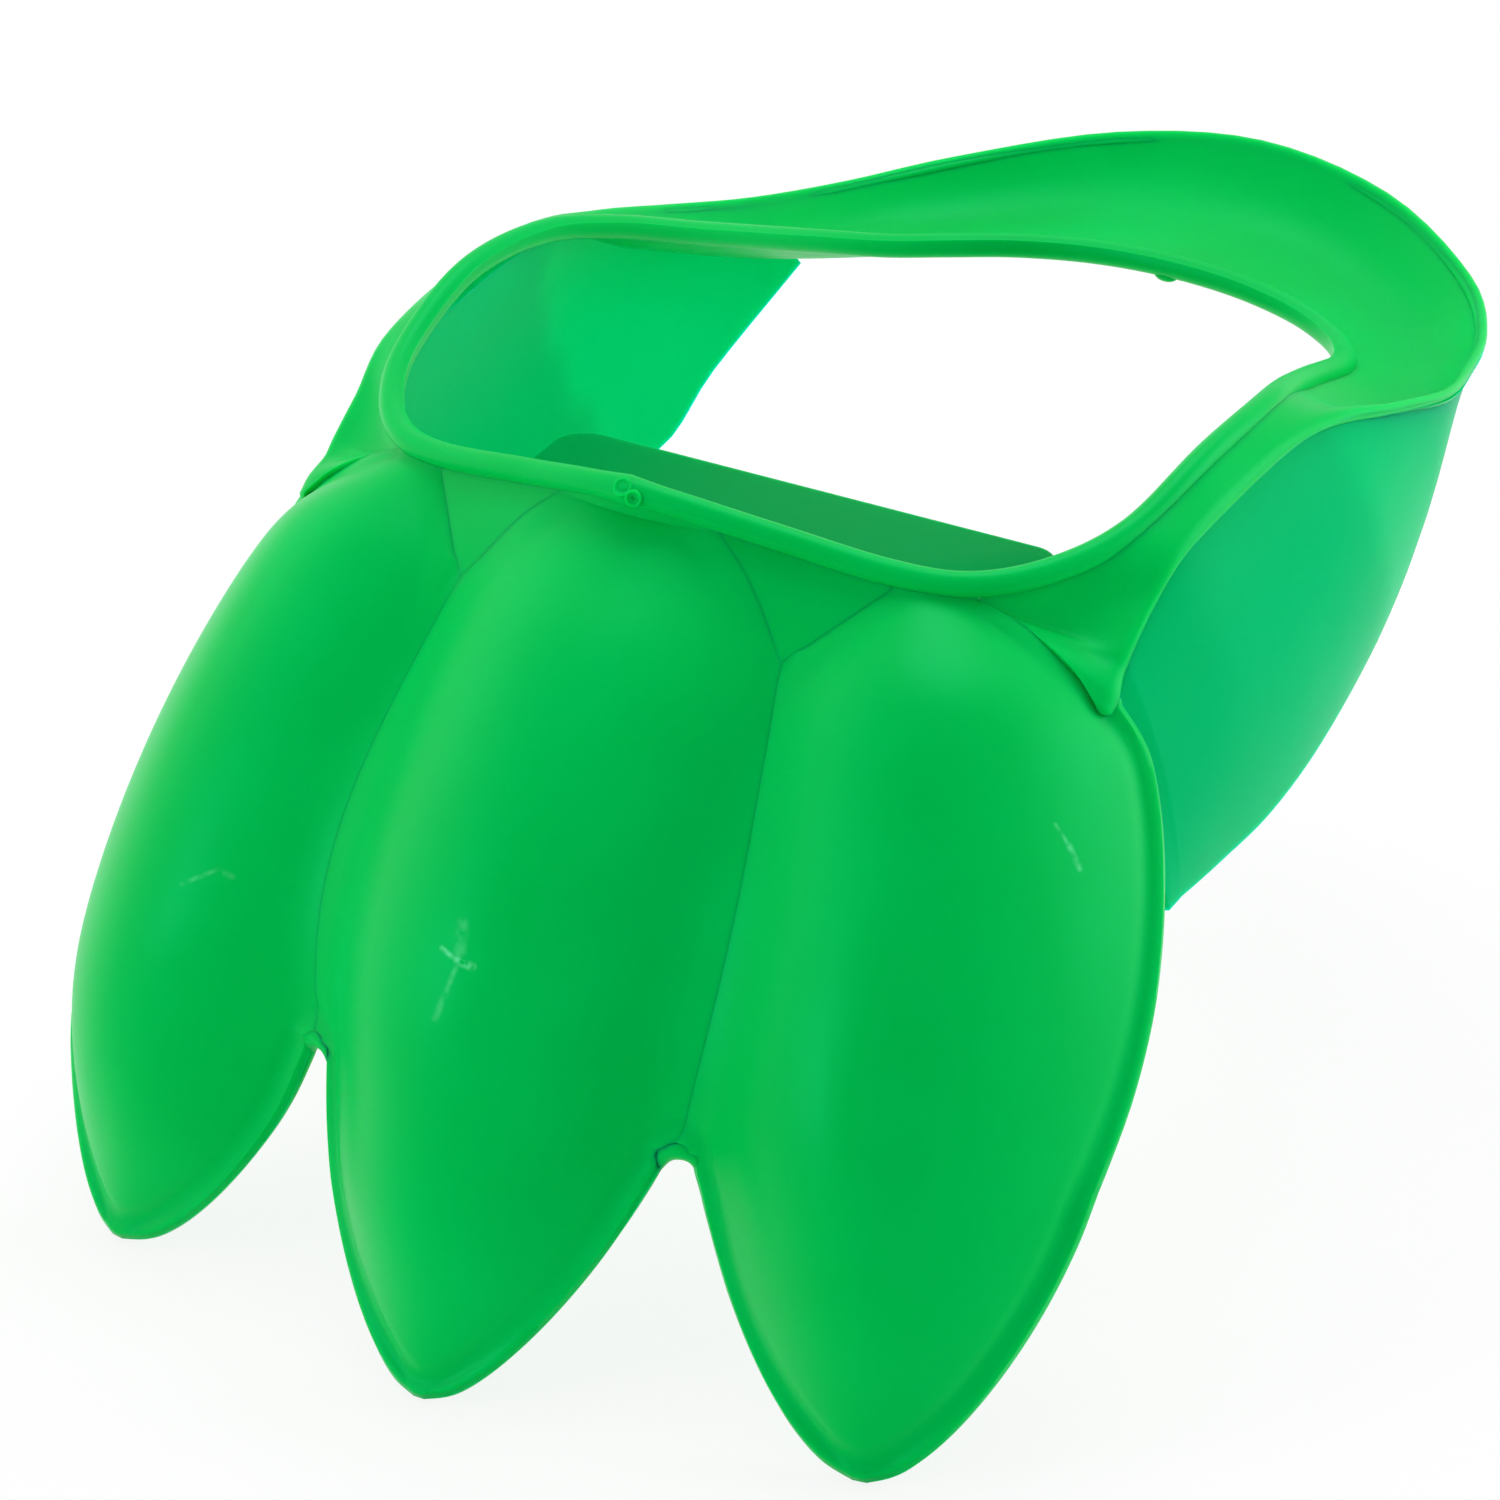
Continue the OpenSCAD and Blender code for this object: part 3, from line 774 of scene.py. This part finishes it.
def claw_rows(shape, left, right, joined):
    """Points of a claw's outer face, row by row from the rim down to its tip.
    joined says, for the left and the right side, whether it runs out into a soft valley.
    Below the notch the claw goes on with the notch's own section, cut off at the free edges.
    Last, the lines down the claw are softened, the crown's fully and the edges not at all."""
    stations = claw_stations(shape)
    top, n = notch_top(shape), shape.arch_steps
    lefts = [spline_at(left, u) for u in stations]
    rights = [spline_at(right, u) for u in stations]
    tops = lefts[top], rights[top]
    laps = []
    for i, u in enumerate(stations):
        across = (rights[i] - lefts[i]).normalized()
        ways = (lefts[i] - tops[0]).length, (rights[i] - tops[1]).length
        laps.append([lap_at(shape, i, u, way) if side else 0 for way, side in zip(ways, joined)])
        if joined[0]:
            lefts[i] = side_place(shape, i, lefts[i], laps[i][0], ways[0], across)
        if joined[1]:
            rights[i] = side_place(shape, i, rights[i], laps[i][1], ways[1], -across)
    middles = [(a + b) / 2 for a, b in zip(lefts, rights)]
    lengths = [0.0]
    for p, q in zip(middles, middles[1:]):
        lengths.append(lengths[-1] + (q - p).length)
    weights = soften_weights(lengths, shape.soften)
    heights = [Vector((r, 0, 0)) for r in shape.rises(left, right)]
    rises = [p.x for p in softened([spline_at(heights, u) for u in stations], weights)]
    outs = [p.normalized() for p in softened([shape.outward(p) for p in middles], weights)]
    halves = [(b - a).length / 2 for a, b in zip(lefts, rights)]
    softs = [mix(shape.crease, shape.valley_soft, ramp(u, n - 1, n + 3)) for u in stations]

    def section(i, side, s):
        """Drop of the face under the crown at a share s of the half width."""
        soft = softs[i] if joined[side] else 0
        if i <= top:
            return rises[i] * (1 - crown_profile(s, soft))
        return rises[top] * (1 - crown_profile(min(1, s * halves[i] / halves[top]), soft))

    rows = []
    for i, (a, b) in enumerate(zip(lefts, rights)):
        crown = (section(i, 0, 1) + section(i, 1, 1)) / 2
        rows.append([middles[i] + (b - a) * (s / 2)
                     + outs[i] * (crown - section(i, 0 if s < 0 else 1, abs(s)))
                     for s in claw_columns(halves[i])])
    columns = []
    for k, s in enumerate(claw_columns(halves[0])):
        line = [row[k] for row in rows]
        soft = ramp(1 - abs(s), 0.0, shape.soften_from)
        columns.append([mix(p, q, soft) for p, q in zip(line, softened(line, weights))] if soft else line)
    return [lapped(shape, list(row), lap) for row, lap in zip(zip(*columns), laps)]


def free_edge(shape, rows, joined):
    """A claw's free edge, down its left side, round the tip and up its right side."""
    starts = [notch_top(shape) if side else claw_stations(shape).index(shape.arch_steps) for side in joined]
    return ([(i, 0) for i in range(starts[0], len(rows))]
            + [(len(rows) - 1, k) for k in range(1, len(rows[0]) - 1)]
            + [(i, len(rows[0]) - 1) for i in range(len(rows) - 1, starts[1] - 1, -1)])


def tree_of(points):
    """Search tree that finds the nearest of the points."""
    tree = KDTree(len(points))
    for i, p in enumerate(points):
        tree.insert(p, i)
    tree.balance()
    return tree


def with_lip(shape, rows, joined):
    """The claw's rows with the rolled lip drawn out of its face along the free edge."""
    per = 4
    edge = [rows[i][k] for i, k in free_edge(shape, rows, joined)]
    tree = tree_of([mix(p, q, k / per) for p, q in zip(edge, edge[1:] + edge[-1:]) for k in range(per)])
    normals = surface_normals(rows)
    return [[p + n * lip(tree.find(p)[2]) for p, n in zip(row, line)] for row, line in zip(rows, normals)]


def lip_core(shape, rows, joined):
    """Middle line of the round that closes the wall along the free edge."""
    normals = surface_normals(rows)
    half_wall = sizes().wall / MM / 2
    path = free_edge(shape, rows, joined)
    edge = [rows[i][k] for i, k in path]
    out = []
    for j, (i, k) in enumerate(path):
        inward = along(edge, j).cross(normals[i][k]).normalized()
        out.append(edge[j] - normals[i][k] * half_wall - inward * LIP_INSET)
    return out


def tucked(shape, rows):
    """The rows with two more above them that run up into the rim's bead."""
    per = 24
    half = spline(shape.rim_guides, per, (True, True))
    path = half + flip_all(half)
    tree = tree_of(path)
    top = [path[tree.find(p)[1]] for p in rows[0]]
    return [top, [mix(p, q, 0.5) for p, q in zip(top, rows[0])]] + rows


class SCOOP_OT_claws(bpy.types.Operator):
    """Model the three crowned claws and the bead round their free edges"""
    bl_idname = "scoop.claws"
    bl_label = "Claws"

    # Smoothing passes over the lip's middle line and over the bead round a notch
    core_passes, saddle_passes = 6, 12
    # That bead's reach from the notch's top, its shift outwards there and its swell there
    saddle_reach, saddle_shift, saddle_swell = 7, 0.1, 0.75
    # Points of a lip, from its start, among which that reach is looked for
    side_points = 40

    def execute(self, context):
        shape = Shape()
        plans = (("middle_claw", flip_all(shape.middle_edge), shape.middle_edge, (True, True)),
                 ("right_claw", shape.inner_edge, shape.claw_side, (True, False)))
        parts = {}
        for name, low, high, joined in plans:
            plain = claw_rows(shape, low, high, joined)
            core = smoothed(lip_core(shape, plain, joined), self.core_passes)
            parts[name] = tucked(shape, with_lip(shape, plain, joined)), core
        rows, core = parts["right_claw"]
        middle_rows, middle_core = parts["middle_claw"]
        n = self.notch_points(core)
        # The bead round a notch is one piece, from the middle claw over the notch's top to the outer claw
        saddle = smoothed(middle_core[-n:-1] + core[1:n], self.saddle_passes)
        humps = [math.sin(math.pi * i / (len(saddle) - 1)) for i in range(len(saddle))]
        saddle = [p + shape.outward(p) * (self.saddle_shift * hump) for p, hump in zip(saddle, humps)]
        swells = [1 + self.saddle_swell * hump for hump in humps]
        self.make("right_claw", rows, (core[n - 2:], None))
        self.make("left_claw", [flip_all(row[::-1]) for row in rows], (flip_all(core[n - 2:]), None))
        self.make("middle_claw", middle_rows, (middle_core[n - 2:2 - n], None), (saddle, swells),
                  (flip_all(saddle), swells))
        return {"FINISHED"}

    def notch_points(self, core):
        """How many of a lip's points lie near the notch."""
        return sum((p - core[0]).length < self.saddle_reach for p in core[:self.side_points])

    def make(self, name, rows, *cores):
        shell = sheet(name + "_shell", rows[::-1])
        beads = [tube(name + "_lip", core, sizes().edge_bead_d, swells) for core, swells in cores]
        finish_piece(join(shell, *beads), name)


class SCOOP_OT_gussets(bpy.types.Operator):
    """Model the two webs under the rim between the claws"""
    bl_idname = "scoop.gussets"
    bl_label = "Gussets"

    def execute(self, context):
        shape = Shape()
        per, across = 4, 10
        a, b = spline(shape.middle_arch, per), spline(shape.inner_arch, per)
        web = [[mix(p, q, k / across) for k in range(across + 1)] for p, q in zip(a, b)]
        right = tucked(shape, web)[::-1]
        left = [flip_all(row[::-1]) for row in right]
        for name, rows in (("left_gusset", left), ("right_gusset", right)):
            finish_piece(sheet(name + "_web", rows), name)
        return {"FINISHED"}


class SCOOP_OT_rim(bpy.types.Operator):
    """Model the round bead of the hand opening with its two gate marks"""
    bl_idname = "scoop.rim"
    bl_label = "Rim bead"

    # Height of the opening's middle, and steps between two of the rim's guides
    middle_z, per = -8, 8
    # Swell of the front bead at the gate, as a share of its radius, and the swell's half width
    front_y, gate_swell, gate_half = 20, 0.2, 3.2
    # Sides of the section, the parting ridge's place, in degrees from inwards to upwards, and its height
    sides, ridge_at, ridge_h = 22, 38, 0.22

    def execute(self, context):
        shape = Shape()
        half = spline(shape.rim_guides, self.per, (True, True))
        path = half + flip_all(half[1:-1])[::-1]
        middle = at(0, shape.length / 2, self.middle_z)
        sections = []
        for i, p in enumerate(path):
            way = (path[(i + 1) % len(path)] - path[i - 1]).normalized()
            inward = (middle - p) - way * (middle - p).dot(way)
            inward.normalize()
            up = way.cross(inward).normalized()
            if up.z < 0:
                up = -up
            sections.append(self.section(p, inward, up))
        piece = ring("rim_bead_round", sections)
        for mark in self.marks(shape):
            add_solid(piece, mark)
        finish_piece(piece, "rim_bead")
        return {"FINISHED"}

    def section(self, p, inward, up):
        """A round with the thin ridge of the mould's parting line on its inner upper side.
        The bead swells where the plastic came in."""
        radius = sizes().rim_bead_d / MM / 2
        if p.y < self.front_y:
            radius *= 1 + self.gate_swell * math.exp(-(p.x / self.gate_half) ** 2)
        loop = []
        for k in range(self.sides):
            turn = math.radians(self.ridge_at) + math.tau * k / self.sides
            r = radius + (self.ridge_h if k == 0 else 0)
            loop.append(p + inward * (r * math.cos(turn)) + up * (r * math.sin(turn)))
        return loop

    def marks(self, shape):
        """The two gate marks on the front rim, and the lump under the strap's middle."""
        d = sizes().gate_d
        lean_up, lean_out = at(0.1, -0.72, 0.66).normalized(), at(0.3, -0.9, 0.12).normalized()
        yield gate_mark(at(0.1, 0, -0.6) + lean_up * 2.4, lean_up, d, 0.0003)
        yield gate_mark(at(1.9, 0.2, -0.3) + lean_out * 2.6, lean_out, d * 0.85, 0.0004)
        yield bump_ball(shape.rim_guides[-1] + at(0, -0.5, -1.7), (2.4, 1.2, 1.3))


class CollarFrame:
    """One cross-section of the right half of the collar, at a place u counted in guide points from the web's
    tip: its inner edge a, its outer edge b, the upward normal n and the middle of the bead under b."""

    # Sections between two guides
    per = 5
    # Step along the guides that gives the collar's run, and the least u at which its slope across is taken
    run_step, slope_from = 0.1, 0.3
    # How far the outer edge reaches past its guide, at the bands and at the strap, and the shares of the way
    # at which the bands' reach is full and the strap's sets in and is full
    band_reach, strap_reach = 0.8, 2.0
    band_full, strap_from, strap_full = 0.2, 0.7, 0.95
    # Widths between which the web's toe passes into the band
    toe_w, band_w = 8, 19
    # The bead's middle below and inside the outer edge, each at the band and at the toe
    bead_low, bead_in = (2.9, 1.5), (1.3, 1.7)
    # The channel's share of its depth at the toe, the guides between which it gets deeper, and the power that
    # draws its deepest line towards the outer edge
    toe_share, deeper_from, deeper_to, skew = 0.3, 2, 7, 1.3

    def __init__(self, shape, u):
        last = len(shape.inner_line) - 1
        sides = (False, True)
        a, b = spline_at(shape.inner_line, u, sides), spline_at(shape.outer_line, u, sides)
        ahead, back = min(u + self.run_step, last), max(u - self.run_step, 0)
        run = spline_at(shape.outer_line, ahead, sides) - spline_at(shape.outer_line, back, sides)
        if u == last:
            run = Vector((-1, 0, 0))
        start = max(u, self.slope_from)
        w = spline_at(shape.outer_line, start, sides) - spline_at(shape.inner_line, start, sides)
        self.n = w.cross(run).normalized()
        self.out = w.normalized()
        # The web's tip ends in a round, and the strap's edge reaches further out than the bands'
        grow = shape.toe_round(((a + b) / 2 - shape.wedge).length)
        reach = mix(self.band_reach, self.strap_reach, ramp(u / last, self.strap_from, self.strap_full))
        reach *= ramp(u / last, 0.0, self.band_full)
        self.a, self.b = a, b + self.out * (grow + reach)
        width = (self.b - self.a).length
        self.toe = 1 - ramp(width, self.toe_w, self.band_w)
        self.width = max(width, 0.01)
        self.bead = self.b - self.n * mix(*self.bead_low, self.toe) - self.out * mix(*self.bead_in, self.toe)
        deep = mix(self.toe_share, 1, ramp(u, self.deeper_from, self.deeper_to))
        self.sag = sizes().channel / MM * min(1, self.width / shape.strap_w) * deep

    def channel(self, d):
        """Depth of the channel at a distance from the inner edge: it is steeper towards the outer edge."""
        t = (d / self.width) ** self.skew
        return self.sag * 4 * t * (1 - t)


def collar_frames(shape):
    """Cross-sections of the right half of the collar, from the web's tip to the middle of the strap."""
    per = CollarFrame.per
    return [CollarFrame(shape, i / per) for i in range(per * (len(shape.inner_line) - 1) + 1)]


class SCOOP_OT_collar(bpy.types.Operator):
    """Model the side bands and the wrist strap as one channelled collar"""
    bl_idname = "scoop.collar"
    bl_label = "Collar and strap"

    # Places of the close sections at the web's tip
    tip_places = (0.004, 0.015, 0.035, 0.065, 0.11)
    # Steps across the channel and round the rolled edge, and that edge's radius
    channel_steps, roll_steps, roll_r = 14, 8, 2.4
    # The toe's bulge, in millimetres and at most as a share of the width, and the toe's share of the roll
    bulge_h, bulge_share, toe_roll = 1.2, 0.35, 0.5

    def execute(self, context):
        shape = Shape()
        tip = [CollarFrame(shape, u) for u in self.tip_places]
        rows = [self.section(f) for f in tip + collar_frames(shape)[1:]]
        rows = rows + [flip_all(row) for row in rows[:-1]][::-1]
        piece = sheet("collar_strap", rows)
        finish_piece(piece, "left_band", "right_band", "hand_strap", tone="strap")
        return {"FINISHED"}

    def section(self, f):
        """Points across the collar: a channel whose outer edge rolls down over the bead, and at the web's
        tip a rounded toe."""
        width = f.width
        bulge = min(self.bulge_h, self.bulge_share * width)
        radius = min(self.roll_r, width / 2)
        n, m = self.channel_steps, self.roll_steps
        places = [k / n * (width - radius) for k in range(n)]
        places += [width - radius + radius * math.sin(math.pi / 2 * k / m) for k in range(m + 1)]
        out = []
        for d in places:
            t = d / width
            over = max(0, d - width + radius)
            roll = radius - math.sqrt(max(0, radius * radius - over * over))
            low = f.channel(d) + roll
            toe = -bulge * math.sqrt(max(0, 1 - t * t)) + roll * self.toe_roll
            out.append(mix(f.a, f.b, t) - f.n * mix(low, toe, f.toe))
        return out


class SCOOP_OT_outer_bead(bpy.types.Operator):
    """Model the bead along the collar's outer edge"""
    bl_idname = "scoop.outer_bead"
    bl_label = "Outer bead"

    # The bead's thickness at the web's tip and along the bands, as shares of its diameter, the sections
    # between which it changes, and the smoothing passes over its middle line
    tip_swell, band_swell, swell_from, swell_to, passes = 0.75, 0.5, 4, 14, 5

    def execute(self, context):
        frames = collar_frames(Shape())
        # It lies under the rolled edge, so that only its outer side shows
        half = smoothed([f.bead for f in frames], self.passes)
        swells = [mix(self.tip_swell, self.band_swell, ramp(i, self.swell_from, self.swell_to))
                  for i in range(len(frames))]
        path = flip_all(half)[:-1] + half[::-1]
        piece = tube("outer_bead_round", path, sizes().outer_bead_d, swells[:-1] + swells[::-1])
        finish_piece(piece, "outer_bead")
        return {"FINISHED"}


class SCOOP_OT_cheeks(bpy.types.Operator):
    """Model the two side walls under the bands"""
    bl_idname = "scoop.cheeks"
    bl_label = "Cheeks"

    # Steps down the wall
    across = 20
    # Share of the wall's thickness that is left behind the fold, and the distance from it where that holds
    thin_share, thin_from = 0.7, 1.5
    # The wall's upper edge: its distance inside and below the collar's outer edge, the place across the
    # channel under which it has to lie, from that edge, and how far under it
    top_in, top_low, channel_at, channel_under = 1.2, 1.8, 3.3, 0.6

    def execute(self, context):
        shape = Shape()
        lower = spline(shape.cheek_line, CollarFrame.per)
        upper = [self.top(f) for f in collar_frames(shape)[:len(lower)]]
        rows = []
        for i, (top, low) in enumerate(zip(upper, lower)):
            w = (low - top).normalized()
            n = w.cross(along(lower, i)).normalized()
            swell = sizes().cheek_swell / MM * min(1, ((low - top).length / shape.cheek_drop) ** 2)
            row = []
            for k in range(self.across + 1):
                t = k / self.across
                p = mix(top, low, t)
                row.append(p + n * ((swell + shape.fold(p)) * 4 * t * (1 - t)))
            rows.append(row)
        left = [flip_all(row[::-1]) for row in rows]
        for name, points in (("left_cheek", left), ("right_cheek", rows)):
            # Behind the fold the wall is thinner and passes more light
            shares = [[mix(1, self.thin_share, ramp(shape.behind_fold(p), -self.thin_from, self.thin_from))
                       for p in row] for row in points]
            finish_piece(sheet(name + "_wall", points, shares), name, tone="thin")
        return {"FINISHED"}

    def top(self, f):
        """Where the wall ends: beside the bead, and no higher than the channel's face."""
        under = f.channel(max(0, f.width - self.channel_at)) + self.channel_under
        return f.b - f.out * self.top_in - f.n * max(self.top_low, under)


class SCOOP_OT_shelf(bpy.types.Operator):
    """Model the flat shelf that the fingers lie on"""
    bl_idname = "scoop.shelf"
    bl_label = "Finger shelf"

    # Outline of a side from the front back, measured from the valley's ridge inside, and then the point
    # before the rounded corner: its distance inside the shelf's half width and its place behind the rim
    side_steps = ((-7.5, -7), (-2.5, -1.6), (0, 0.5), (2, 3), (8, 13))
    waist_in, waist_y = 2.5, 22
    # Rounded edges, in metres, and the angle in degrees from which an edge is rounded
    edge_r, edge_angle = 0.0005, 60

    def execute(self, context):
        shape = Shape()
        wall = sizes().wall / MM
        level = shape.shelf_drop + shape.shelf_back * math.tan(math.radians(shape.shelf_lean)) + wall / 2
        ridge_at = shape.valley((level - shape.valley_drop) / (shape.notch_drop - shape.valley_drop))
        ridge = ridge_at - shape.outward(ridge_at) * wall
        half_w, r = shape.shelf_w / 2, shape.shelf_r
        half = [(ridge.x + x, ridge.y + y) for x, y in self.side_steps]
        half.append((half_w - self.waist_in, self.waist_y))
        for a in range(0, 91, 10):
            turn = math.radians(a)
            half.append((half_w - r + r * math.cos(turn), shape.shelf_back - r + r * math.sin(turn)))
        outline = half + [(-x, y) for x, y in half[::-1]]
        lean = Matrix.Rotation(math.radians(shape.shelf_lean), 3, "X")
        pivot = at(0, shape.shelf_back, -shape.shelf_drop)
        deselect()
        bpy.ops.mesh.primitive_circle_add(vertices=len(outline), radius=1, fill_type="NGON")
        obj = bpy.context.object
        obj.name = obj.data.name = "finger_shelf_plate"
        for vertex, (x, y) in zip(obj.data.vertices, outline):
            vertex.co = placed(pivot + lean @ at(x, y - shape.shelf_back, 0))
        if obj.data.polygons[0].normal.z < 0:
            bpy.ops.object.mode_set(mode="EDIT")
            bpy.ops.mesh.select_all(action="SELECT")
            bpy.ops.mesh.flip_normals()
            bpy.ops.object.mode_set(mode="OBJECT")
        apply_modifier(obj, "SOLIDIFY", thickness=sizes().wall, offset=-1.0)
        apply_modifier(obj, "BEVEL", width=self.edge_r, segments=3, limit_method="ANGLE",
                       angle_limit=math.radians(self.edge_angle))
        # The shelf's plastic is darkened as painted shade.
        finish_piece(obj, "finger_shelf", tone="inside")
        return {"FINISHED"}


class SCOOP_OT_stage(bpy.types.Operator):
    """Set up the pale floor, the soft studio light and the camera"""
    bl_idname = "scoop.stage"
    bl_label = "Stage"

    # Each lamp's name, place and size in metres, and power in watts
    lamps = (
        ("left_softbox", (-1.08, -0.72, 0.45), 1.6, 3.4),
        ("front_strip", (-0.6, -1.15, 0.35), 0.3, 2.6),
        ("right_softbox", (1.08, 0.72, 0.5), 0.9, 7.8),
        ("back_softbox", (-1.15, 0.45, 0.3), 0.9, 5.0),
        ("top_softbox", (-0.1, 0.3, 1.35), 0.8, 6.8),
    )
    aim_z, world_level = 0.07, 0.52
    # Floor: its size and height in metres, just under the claws' tips, and the share of plain white that it
    # shows to the camera
    floor_size, floor_z, floor_white = 12, -0.0006, 0.85
    # Camera: its sensor and lens in millimetres, its place from the front rim's middle, and its own axes
    sensor, lens = 36, 192
    camera_place = at(683.716, -998.218, 515.429)
    camera_axes = ((0.83428, 0.55135, 0), (-0.23247, 0.35178, 0.90676), (0.49994, -0.75649, 0.42166))

    def execute(self, context):
        scene = context.scene
        scene.view_settings.view_transform = "Standard"
        self.make_floor()
        self.make_world(scene)
        for lamp in self.lamps:
            self.add_lamp(scene, *lamp)
        # The back light shines through the left cheek and leaves no gleam on the claws' edges
        bpy.data.objects["back_softbox"].visible_glossy = False
        self.add_camera(scene)
        return {"FINISHED"}

    def make_floor(self):
        deselect()
        bpy.ops.mesh.primitive_plane_add(size=self.floor_size, location=(0, 0, self.floor_z))
        floor = bpy.context.object
        floor.name = "studio_floor"
        bpy.ops.object.transform_apply(location=True)
        material = bpy.data.materials.new("matt white paper")
        material.use_nodes = True
        tree = material.node_tree
        tree.nodes.clear()
        # Seen by the camera, mirrored, or through something clear, the paper is near white and keeps a shadow
        paths = add_node(tree, "ShaderNodeLightPath").outputs
        seen = add_node(tree, "ShaderNodeMath", [(0, paths["Is Camera Ray"]), (1, paths["Is Glossy Ray"])],
                        operation="MAXIMUM")
        seen = add_node(tree, "ShaderNodeMath", [(0, seen.outputs[0]), (1, paths["Is Transmission Ray"])],
                        operation="MAXIMUM")
        share = add_node(tree, "ShaderNodeMath", [(0, seen.outputs[0])], [(1, self.floor_white)],
                         operation="MULTIPLY")
        paper = add_node(tree, "ShaderNodeBsdfDiffuse", values=[("Color", (*colours().floor, 1))])
        glow = add_node(tree, "ShaderNodeEmission")
        both = add_node(tree, "ShaderNodeMixShader",
                        [(0, share.outputs[0]), (1, paper.outputs[0]), (2, glow.outputs[0])])
        add_node(tree, "ShaderNodeOutputMaterial", [("Surface", both.outputs[0])])
        floor.data.materials.append(material)

    def make_world(self, scene):
        world = bpy.data.worlds.new("studio_white")
        scene.world = world
        world.use_nodes = True
        tree = world.node_tree
        tree.nodes.clear()
        sky = add_node(tree, "ShaderNodeBackground",
                       values=[("Strength", self.world_level), ("Color", (1, 1, 1, 1))])
        add_node(tree, "ShaderNodeOutputWorld", [("Surface", sky.outputs[0])])

    def add_lamp(self, scene, name, place, size, power):
        lamp = bpy.data.lights.new(name, "AREA")
        lamp.size, lamp.energy = size, power
        obj = bpy.data.objects.new(name, lamp)
        scene.collection.objects.link(obj)
        obj.location = place
        aim = Vector((0, 0, self.aim_z)) - Vector(place)
        obj.rotation_euler = aim.to_track_quat("-Z", "Y").to_euler()

    def add_camera(self, scene):
        camera = bpy.data.cameras.new("photo_camera")
        camera.sensor_width, camera.lens = self.sensor, self.lens
        obj = bpy.data.objects.new("photo_camera", camera)
        scene.collection.objects.link(obj)
        columns = (*self.camera_axes, placed(self.camera_place))
        obj.matrix_world = Matrix([[column[i] for column in columns] for i in range(3)] + [[0, 0, 0, 1]])
        scene.camera = obj


class SCOOP_PT_panel(bpy.types.Panel):
    """Lists the scoop's pieces and sizes"""
    bl_idname = "SCOOP_PT_panel"
    bl_label = "Hand leaf scoop"
    bl_space_type = "VIEW_3D"
    bl_region_type = "UI"
    bl_category = "Scoop"

    def draw(self, context):
        for step in STEPS:
            self.layout.operator(step.bl_idname)
        for group in (context.scene.scoop_sizes, context.scene.scoop_colours):
            for key in group.__annotations__:
                self.layout.prop(group, key)


STEPS = (SCOOP_OT_claws, SCOOP_OT_gussets, SCOOP_OT_rim, SCOOP_OT_collar, SCOOP_OT_outer_bead,
         SCOOP_OT_cheeks, SCOOP_OT_shelf, SCOOP_OT_stage)
CLASSES = (ScoopSizes, ScoopColours) + STEPS + (SCOOP_PT_panel,)


def register():
    for item in CLASSES:
        bpy.utils.register_class(item)
    bpy.types.Scene.scoop_sizes = bpy.props.PointerProperty(type=ScoopSizes)
    bpy.types.Scene.scoop_colours = bpy.props.PointerProperty(type=ScoopColours)


def unregister():
    del bpy.types.Scene.scoop_colours
    del bpy.types.Scene.scoop_sizes
    for item in reversed(CLASSES):
        bpy.utils.unregister_class(item)


def main():
    register()
    bpy.ops.scoop.claws()
    bpy.ops.scoop.gussets()
    bpy.ops.scoop.rim()
    bpy.ops.scoop.collar()
    bpy.ops.scoop.outer_bead()
    bpy.ops.scoop.cheeks()
    bpy.ops.scoop.shelf()
    bpy.ops.scoop.stage()


if __name__ == "__main__":
    main()
